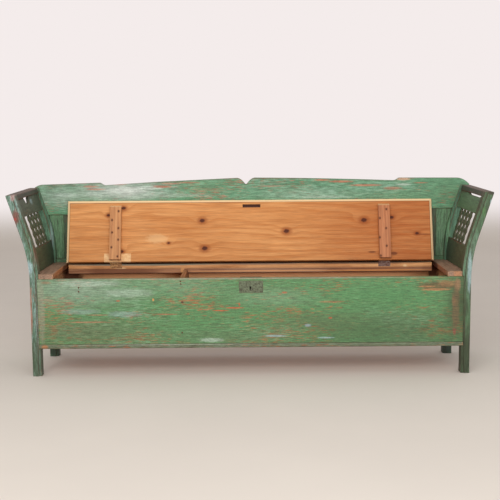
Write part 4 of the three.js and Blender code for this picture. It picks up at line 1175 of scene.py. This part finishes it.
class SETTLE_OT_lid(Operator):
    """Chamfer and wear the lid and its battens and drive their nails"""

    bl_idname = "settle.lid"
    bl_label = "Lid"

    def execute(self, context):
        wear = settings().wear
        into_lid = lid_placing(0, 0, 0).inverted()

        def chamfer_underside(piece):
            """Cuts the chamfer round the underside's free edge and two ends."""

            def rim(edge):
                ends = [into_lid @ vert.co for vert in edge.verts]
                under = all(abs(end.z - LID_UNDERSIDE) < 0.0004 for end in ends)
                free = all(end.y > LID_BREADTH - 0.001 for end in ends)
                return under and (free or all(abs(end.x) > LID_HALF - 0.001 for end in ends))

            pick(piece, rim)
            round_off(wear.lid_chamfer, 1)

        dress_worn("lid", wear.edge * LID_SHARE, lid_pine(), "lid_pine", "seat_lid", chamfer_underside)
        rusty = iron_metal("nail_iron", "#453a33", "rust", 0.75)
        for side in SIDES:
            node = f"lid_batten_{side}"
            spots = BATTEN_NAILS[side]
            wood = batten_pine(f"{node}_pine", spots, *BATTEN_WOOD[side])
            dress_worn(node, wear.edge, wood, "lid_pine", "seat_lid")
            out = BATTEN_FACE + NAIL_LIFT
            placings = [lid_placing(x, y, out, index * 1.1) for index, (x, y) in enumerate(spots)]
            nails = spread_copies(nail_head(wear.nail_radius), f"batten_nails_{side}", placings)
            dress(nails, rusty, "aged_iron", "seat_lid")
        return {"FINISHED"}


# Metal and rust of each hinge
HINGE_METAL = {"left": ("#c9a06c", "#8f5f3e"), "right": ("#8d7a72", "#6b4232")}
# The seat's height, and the screws: their spacing and how far below the middle of the rail leaf's face
SEAT_TOP = 0.473
SCREW_SPACING = 0.021
SCREW_DROP = 0.002


class SETTLE_OT_hinges(Operator):
    """Rust the hinges and set the screws of their fixed leaves"""

    bl_idname = "settle.hinges"
    bl_label = "Hinges"

    def execute(self, context):
        for side in SIDES:
            metal = iron_metal(f"hinge_iron_{side}", *HINGE_METAL[side], 0.55)
            for node in ("hinge_rail_leaf", "hinge_lid_leaf", "hinge_pin"):
                dress_solid(f"{node}_{side}", metal)
            low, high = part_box(f"hinge_rail_leaf_{side}")
            middle = (low.x + high.x) / 2
            height = (low.z + SEAT_TOP) / 2 - SCREW_DROP
            placings = [
                Matrix.Translation((middle + step * SCREW_SPACING, low.y, height))
                @ FACING_FRONT
                @ Matrix.Rotation(0.5 + step, 4, "Z")
                for step in (-1, 0, 1)
            ]
            screws = spread_copies(screw_head(settings().wear.screw_radius), f"hinge_screws_{side}", placings)
            dress(screws, metal, "aged_iron", "bench")
        return {"FINISHED"}


class SETTLE_OT_lock(Operator):
    """Wear the lock plate, pin it on and rust the lock"""

    bl_idname = "settle.lock"
    bl_label = "Lock"

    def execute(self, context):
        case = iron_metal("lock_iron", "iron", "rust", 0.55)
        plate = iron_metal("lock_plate_iron", "plate", "#4a4838", 0.5)
        dress_worn("lock_plate", PLATE_EDGE, plate, "painted_iron")
        low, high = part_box("lock_plate")
        placings = [
            Matrix.Translation((x, low.y + PIN_SINK, z)) @ FACING_FRONT
            for x in (low.x + PIN_INSET, high.x - PIN_INSET)
            for z in (low.z + PIN_INSET, high.z - PIN_INSET)
        ]
        pin = nail_head(settings().wear.nail_radius * PIN_SHARE)
        pins = spread_copies(pin, "lock_plate_pins", placings)
        dress(pins, plate, "painted_iron", "bench")
        for node in ("lock_case", "lock_bolt"):
            dress_solid(node, case)
        return {"FINISHED"}


# How deep the middle of a front nail's head lies, and the nails along X and Z
NAIL_SINK = 0.0002
FRONT_NAILS = (
    (-0.782, 0.411),
    (-0.782, 0.393),
    (-0.319, 0.437),
    (-0.317, 0.425),
    (-0.312, 0.341),
    (-0.314, 0.2),
)


class SETTLE_OT_front_nails(Operator):
    """Drive the nails that hold the front board to the partition and end"""

    bl_idname = "settle.front_nails"
    bl_label = "Front Board Nails"

    def execute(self, context):
        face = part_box("front_board")[0].y
        placings = [
            Matrix.Translation((x, face + NAIL_SINK, z)) @ FACING_FRONT @ Matrix.Rotation(index, 4, "Z")
            for index, (x, z) in enumerate(FRONT_NAILS)
        ]
        nails = spread_copies(nail_head(settings().wear.nail_radius), "front_board_nails", placings)
        dress(nails, iron_metal("front_nail_iron", "#4a3028", "rust", 0.8), "aged_iron", "bench")
        return {"FINISHED"}


CREST_MARKS = [
    (-0.60, 0.829, 0.10, 0.02, "#cfd8d0", 0.6, 1.5),
    (-0.50, 0.838, 0.09, 0.012, "#c6d2c8", 0.6, 1.6),
    (-0.90, 0.805, 0.08, 0.012, "#b4c6ba", 0.5, 1.6),
    (-0.76, 0.811, 0.06, 0.01, "#b4c6ba", 0.5, 1.6),
    (-0.35, 0.80, 0.2, 0.012, "mint", 0.4, 1.6),
    (-0.778, 0.846, 0.05, 0.006, DULL_PINK, 0.8, 1.2),
    (-0.755, 0.832, 0.06, 0.006, DULL_PINK, 0.75, 1.2),
    (-0.640, 0.856, 0.05, 0.005, DULL_PINK, 0.6, 1.2),
    (-0.56, 0.872, 0.08, 0.004, DULL_RED, 0.6, 1.2),
    (-0.43, 0.843, 0.06, 0.008, DULL_RED, 0.75, 1.3),
    (-0.39, 0.858, 0.06, 0.006, DULL_PINK, 0.7, 1.3),
    (-0.3, 0.862, 0.07, 0.005, DULL_RED, 0.6, 1.3),
    (0.10, 0.842, 0.09, 0.005, DULL_PINK, 0.55, 1.3),
    (0.353, 0.870, 0.05, 0.006, DULL_RED, 0.75, 1.2),
    (0.445, 0.862, 0.08, 0.007, DULL_RED, 0.8, 1.2),
    (0.565, 0.843, 0.1, 0.007, DULL_RED, 0.75, 1.3),
    (0.70, 0.827, 0.06, 0.010, "#a8735a", 0.75, 1.2),
    (0.838, 0.853, 0.045, 0.0035, DULL_RED, 0.7, 1.2),
    (0.752, 0.872, 0.045, 0.009, "#c9a287", 0.9, 0.6),
    (0.752, 0.845, 0.05, 0.008, "mint", 0.65, 1.1),
    (0.37, 0.787, 0.16, 0.008, "mint", 0.4, 1.4),
]
CREST_TONES = [
    (-0.62, 0.82, 0.34, 0.075, "#c4cbc5", 0.82, 0.6),
    (-0.92, 0.80, 0.22, 0.09, "#9dae9f", 0.7, 0.6),
    (-0.22, 0.84, 0.2, 0.06, "#6f9a72", 0.5, 0.6),
    (0.25, 0.80, 0.35, 0.05, "#8fab93", 0.45, 0.6),
    (0.75, 0.79, 0.4, 0.05, "#5f8a62", 0.6, 0.6),
    (0.98, 0.82, 0.2, 0.1, "#618c66", 0.6, 0.5),
    (0.0, 0.8795, 1.1, 0.003, "#7a4a38", 0.6, 0.9),
]


# The crest's coats and shares of wear
CREST = (("#578f68", "#a9c2b6", "#566b4c", "#b25c48", "worn_brown"), (0.4, 0.42, 0.5, 0.8))


class SETTLE_OT_crest(Operator):
    """Wear the crest rail's top and paint it"""

    bl_idname = "settle.crest"
    bl_label = "Crest Rail"

    def execute(self, context):
        spots = marks(CREST_FACE, MARK_DEPTH, CREST_MARKS)
        tones = marks(CREST_FACE, TONE_DEPTH, CREST_TONES)
        skin = painted_wood("crest_paint", "x", *CREST, spots, tones, bare_back=True, seed=11.3)
        dress_worn("crest_rail", settings().wear.hand_edge, skin, "board_paint")
        return {"FINISHED"}


# Coats and shares of wear of the back's frame and panels
BACK_FRAME = (("#567f58", "#85a488", "#3e4a34", "worn_brown", "worn_brown"), (0.35, 0.5, 0.25, 0.4))
BACK_PANELS = (("#4d6a4c", "#7f9a80", "#463d2c", "worn_brown", "worn_brown"), (0.3, 0.6, 0.4, 0.4))


class SETTLE_OT_back_frame(Operator):
    """Wear the back's stiles, muntins and lower rail and paint its panels"""

    bl_idname = "settle.back_frame"
    bl_label = "Back Frame"

    def execute(self, context):
        edge = settings().wear.edge
        upright = painted_wood("stile_paint", "z", *BACK_FRAME, bare_back=True, seed=12.9)
        level = painted_wood("back_rail_paint", "x", *BACK_FRAME, bare_back=True, seed=13.7)
        for side in SIDES:
            for node in (f"back_stile_{side}", f"back_muntin_{side}"):
                dress_worn(node, edge, upright, "panel_paint")
        dress_worn("back_bottom_rail", edge, level, "panel_paint")
        panel = painted_wood("back_panel_paint", "z", *BACK_PANELS, bare_back=True, seed=14.2)
        for place in ("left", "middle", "right"):
            dress_solid(f"back_panel_{place}", panel)
        return {"FINISHED"}


# The camera that was fitted to the photograph: heading, downward tilt and roll in degrees
CAMERA_ANGLES = (0.128, 7.398, -0.423)
CAMERA_PLACE = (-0.011, -4.491, 1.134)
CAMERA_LENS = 68.68


def camera_turn():
    """The camera's axes from its heading, tilt and roll."""
    yaw, pitch, roll = (math.radians(angle) for angle in CAMERA_ANGLES)
    ahead = Vector((math.sin(yaw) * math.cos(pitch), math.cos(yaw) * math.cos(pitch), -math.sin(pitch)))
    level = Vector((math.cos(yaw), -math.sin(yaw), 0))
    upright = level.cross(ahead)
    right = level * math.cos(roll) + upright * math.sin(roll)
    up = upright * math.cos(roll) - level * math.sin(roll)
    return Matrix((right, up, -ahead)).transposed()


def seen_rays(nodes):
    """Rays to the camera, straight or by way of gloss or glass."""
    paths = nodes.add("ShaderNodeLightPath").outputs
    return nodes.larger(*(paths[f"Is {kind} Ray"] for kind in ("Camera", "Glossy", "Transmission")))


def add_lamp(name, place, target, size, power, hue):
    lamp = bpy.data.lights.new(name, "AREA")
    lamp.shape = "RECTANGLE"
    lamp.size, lamp.size_y = size
    lamp.energy = power
    lamp.color = hue
    holder = bpy.data.objects.new(name, lamp)
    aim = Vector(target) - Vector(place)
    holder.matrix_world = Matrix.Translation(place) @ aim.to_track_quat("-Z", "Y").to_matrix().to_4x4()
    bpy.context.scene.collection.objects.link(holder)


# Half the floor's side, and the height and the round of the backdrop at its far edge
SWEEP_REACH = 7
SWEEP_HEIGHT = 8
SWEEP_ROUND = 2.5
# Each lamp's place, its target and its two sides
KEY_LAMP = ((-1.0, -4.3, 2.9), (0, 0, 0.4), (3.2, 2.2))
FILL_LAMP = ((1.8, -4.8, 1.45), (0, 0, 0.5), (2.4, 0.7))


def sweep_paint():
    """Matt pale paint. The floor takes shadows, and the backdrop shows its full colour to the camera."""
    material, nodes, shader, place = start_material("studio_sweep_paint")
    up = nodes.split(place)[2]
    tone = nodes.blend(nodes.spread(up, 0.2, 2.5), "floor", "backdrop")
    mottle = nodes.spread(nodes.noise(place, 1.3, 3), 0.3, 0.7, 0.97, 1.0)
    nodes.feed(shader.inputs["Base Color"], nodes.darken(tone, mottle))
    shader.inputs["Roughness"].default_value = 0.85
    wall = nodes.times(nodes.spread(up, 0.0, 0.35), seen_rays(nodes))
    glow = nodes.add("ShaderNodeEmission", {"Color": "backdrop", "Strength": 1.0}).outputs[0]
    both = nodes.add("ShaderNodeMixShader", {0: wall, 1: shader.outputs[0], 2: glow}).outputs[0]
    nodes.feed(material.node_tree.nodes["Material Output"].inputs["Surface"], both)
    return material


def make_sweep():
    """The floor, with the backdrop that rises in a round from its far edge."""
    clear_selection()
    bpy.ops.mesh.primitive_plane_add(size=2 * SWEEP_REACH, location=(0, 0, 0))
    sweep = bpy.context.object
    sweep.name = "studio_sweep"
    bpy.ops.object.mode_set(mode="EDIT")
    far = SWEEP_REACH - 0.1
    pick(sweep, lambda edge: all(vert.co.y > far for vert in edge.verts))
    bpy.ops.mesh.extrude_region_move(TRANSFORM_OT_translate={"value": (0, 0, SWEEP_HEIGHT)})
    pick(sweep, lambda edge: all(vert.co.y > far and vert.co.z < 0.1 for vert in edge.verts))
    round_off(SWEEP_ROUND, 12)
    bpy.ops.object.mode_set(mode="OBJECT")
    bpy.ops.object.shade_smooth()
    sweep.data.materials.append(sweep_paint())


def light_room(strength):
    """Even light from all round, which the camera sees as the pale backdrop."""
    world = bpy.data.worlds.new("studio_light")
    world.use_nodes = True
    light = world.node_tree.nodes["Background"]
    light.inputs["Color"].default_value = (1, 0.99, 0.97, 1)
    light.inputs["Strength"].default_value = strength
    nodes = Nodes(world.node_tree)
    pale = nodes.add("ShaderNodeBackground", {"Color": "backdrop", "Strength": 1.0}).outputs[0]
    both = nodes.add("ShaderNodeMixShader", {0: seen_rays(nodes), 1: light.outputs[0], 2: pale}).outputs[0]
    nodes.feed(world.node_tree.nodes["World Output"].inputs["Surface"], both)
    bpy.context.scene.world = world


def set_camera():
    """The camera at the photograph's own angle."""
    lens = bpy.data.cameras.new("camera")
    lens.lens = CAMERA_LENS
    lens.sensor_width = 36
    camera = bpy.data.objects.new("camera", lens)
    camera.matrix_world = Matrix.Translation(CAMERA_PLACE) @ camera_turn().to_4x4()
    bpy.context.scene.collection.objects.link(camera)
    bpy.context.scene.camera = camera


class SETTLE_OT_stage(Operator):
    """Set the floor, the backdrop, the lamps and the camera"""

    bl_idname = "settle.stage"
    bl_label = "Stage"

    def execute(self, context):
        stage = settings().stage
        make_sweep()
        light_room(stage.sky)
        add_lamp("key_lamp", *KEY_LAMP, stage.key, (1, 0.98, 0.95))
        add_lamp("fill_lamp", *FILL_LAMP, stage.fill, (1, 1, 1))
        set_camera()
        context.scene.view_settings.view_transform = "Standard"
        return {"FINISHED"}


PIECE_OPERATORS = (
    SETTLE_OT_node_groups,
    SETTLE_OT_stage,
    SETTLE_OT_posts,
    SETTLE_OT_arms,
    SETTLE_OT_box_front,
    SETTLE_OT_front_nails,
    SETTLE_OT_box_inside,
    SETTLE_OT_seat,
    SETTLE_OT_lid,
    SETTLE_OT_hinges,
    SETTLE_OT_lock,
    SETTLE_OT_crest,
    SETTLE_OT_back_frame,
)


class SETTLE_PT_panel(Panel):
    """Lists the bench's operators and settings"""

    bl_idname = "SETTLE_PT_panel"
    bl_label = "Painted Settle Bench"
    bl_space_type = "VIEW_3D"
    bl_region_type = "UI"
    bl_category = "Settle"

    def draw(self, context):
        layout = self.layout
        for operator in PIECE_OPERATORS:
            layout.operator(operator.bl_idname)
        bench = context.scene.settle
        for group in (bench.paint, bench.pine, bench.iron, bench.wear, bench.stage):
            box = layout.box()
            for name in group.__annotations__:
                box.prop(group, name)


PROPERTY_GROUPS = (SettlePaint, SettlePine, SettleIron, SettleWear, SettleStage, SettleSettings)


def register():
    for group in (*PROPERTY_GROUPS, *PIECE_OPERATORS, SETTLE_PT_panel):
        bpy.utils.register_class(group)
    bpy.types.Scene.settle = PointerProperty(type=SettleSettings)


def unregister():
    del bpy.types.Scene.settle
    for group in reversed((*PROPERTY_GROUPS, *PIECE_OPERATORS, SETTLE_PT_panel)):
        bpy.utils.unregister_class(group)


def main():
    register()
    for operator in PIECE_OPERATORS:
        family, name = operator.bl_idname.split(".")
        getattr(getattr(bpy.ops, family), name)()


if __name__ == "__main__":
    main()
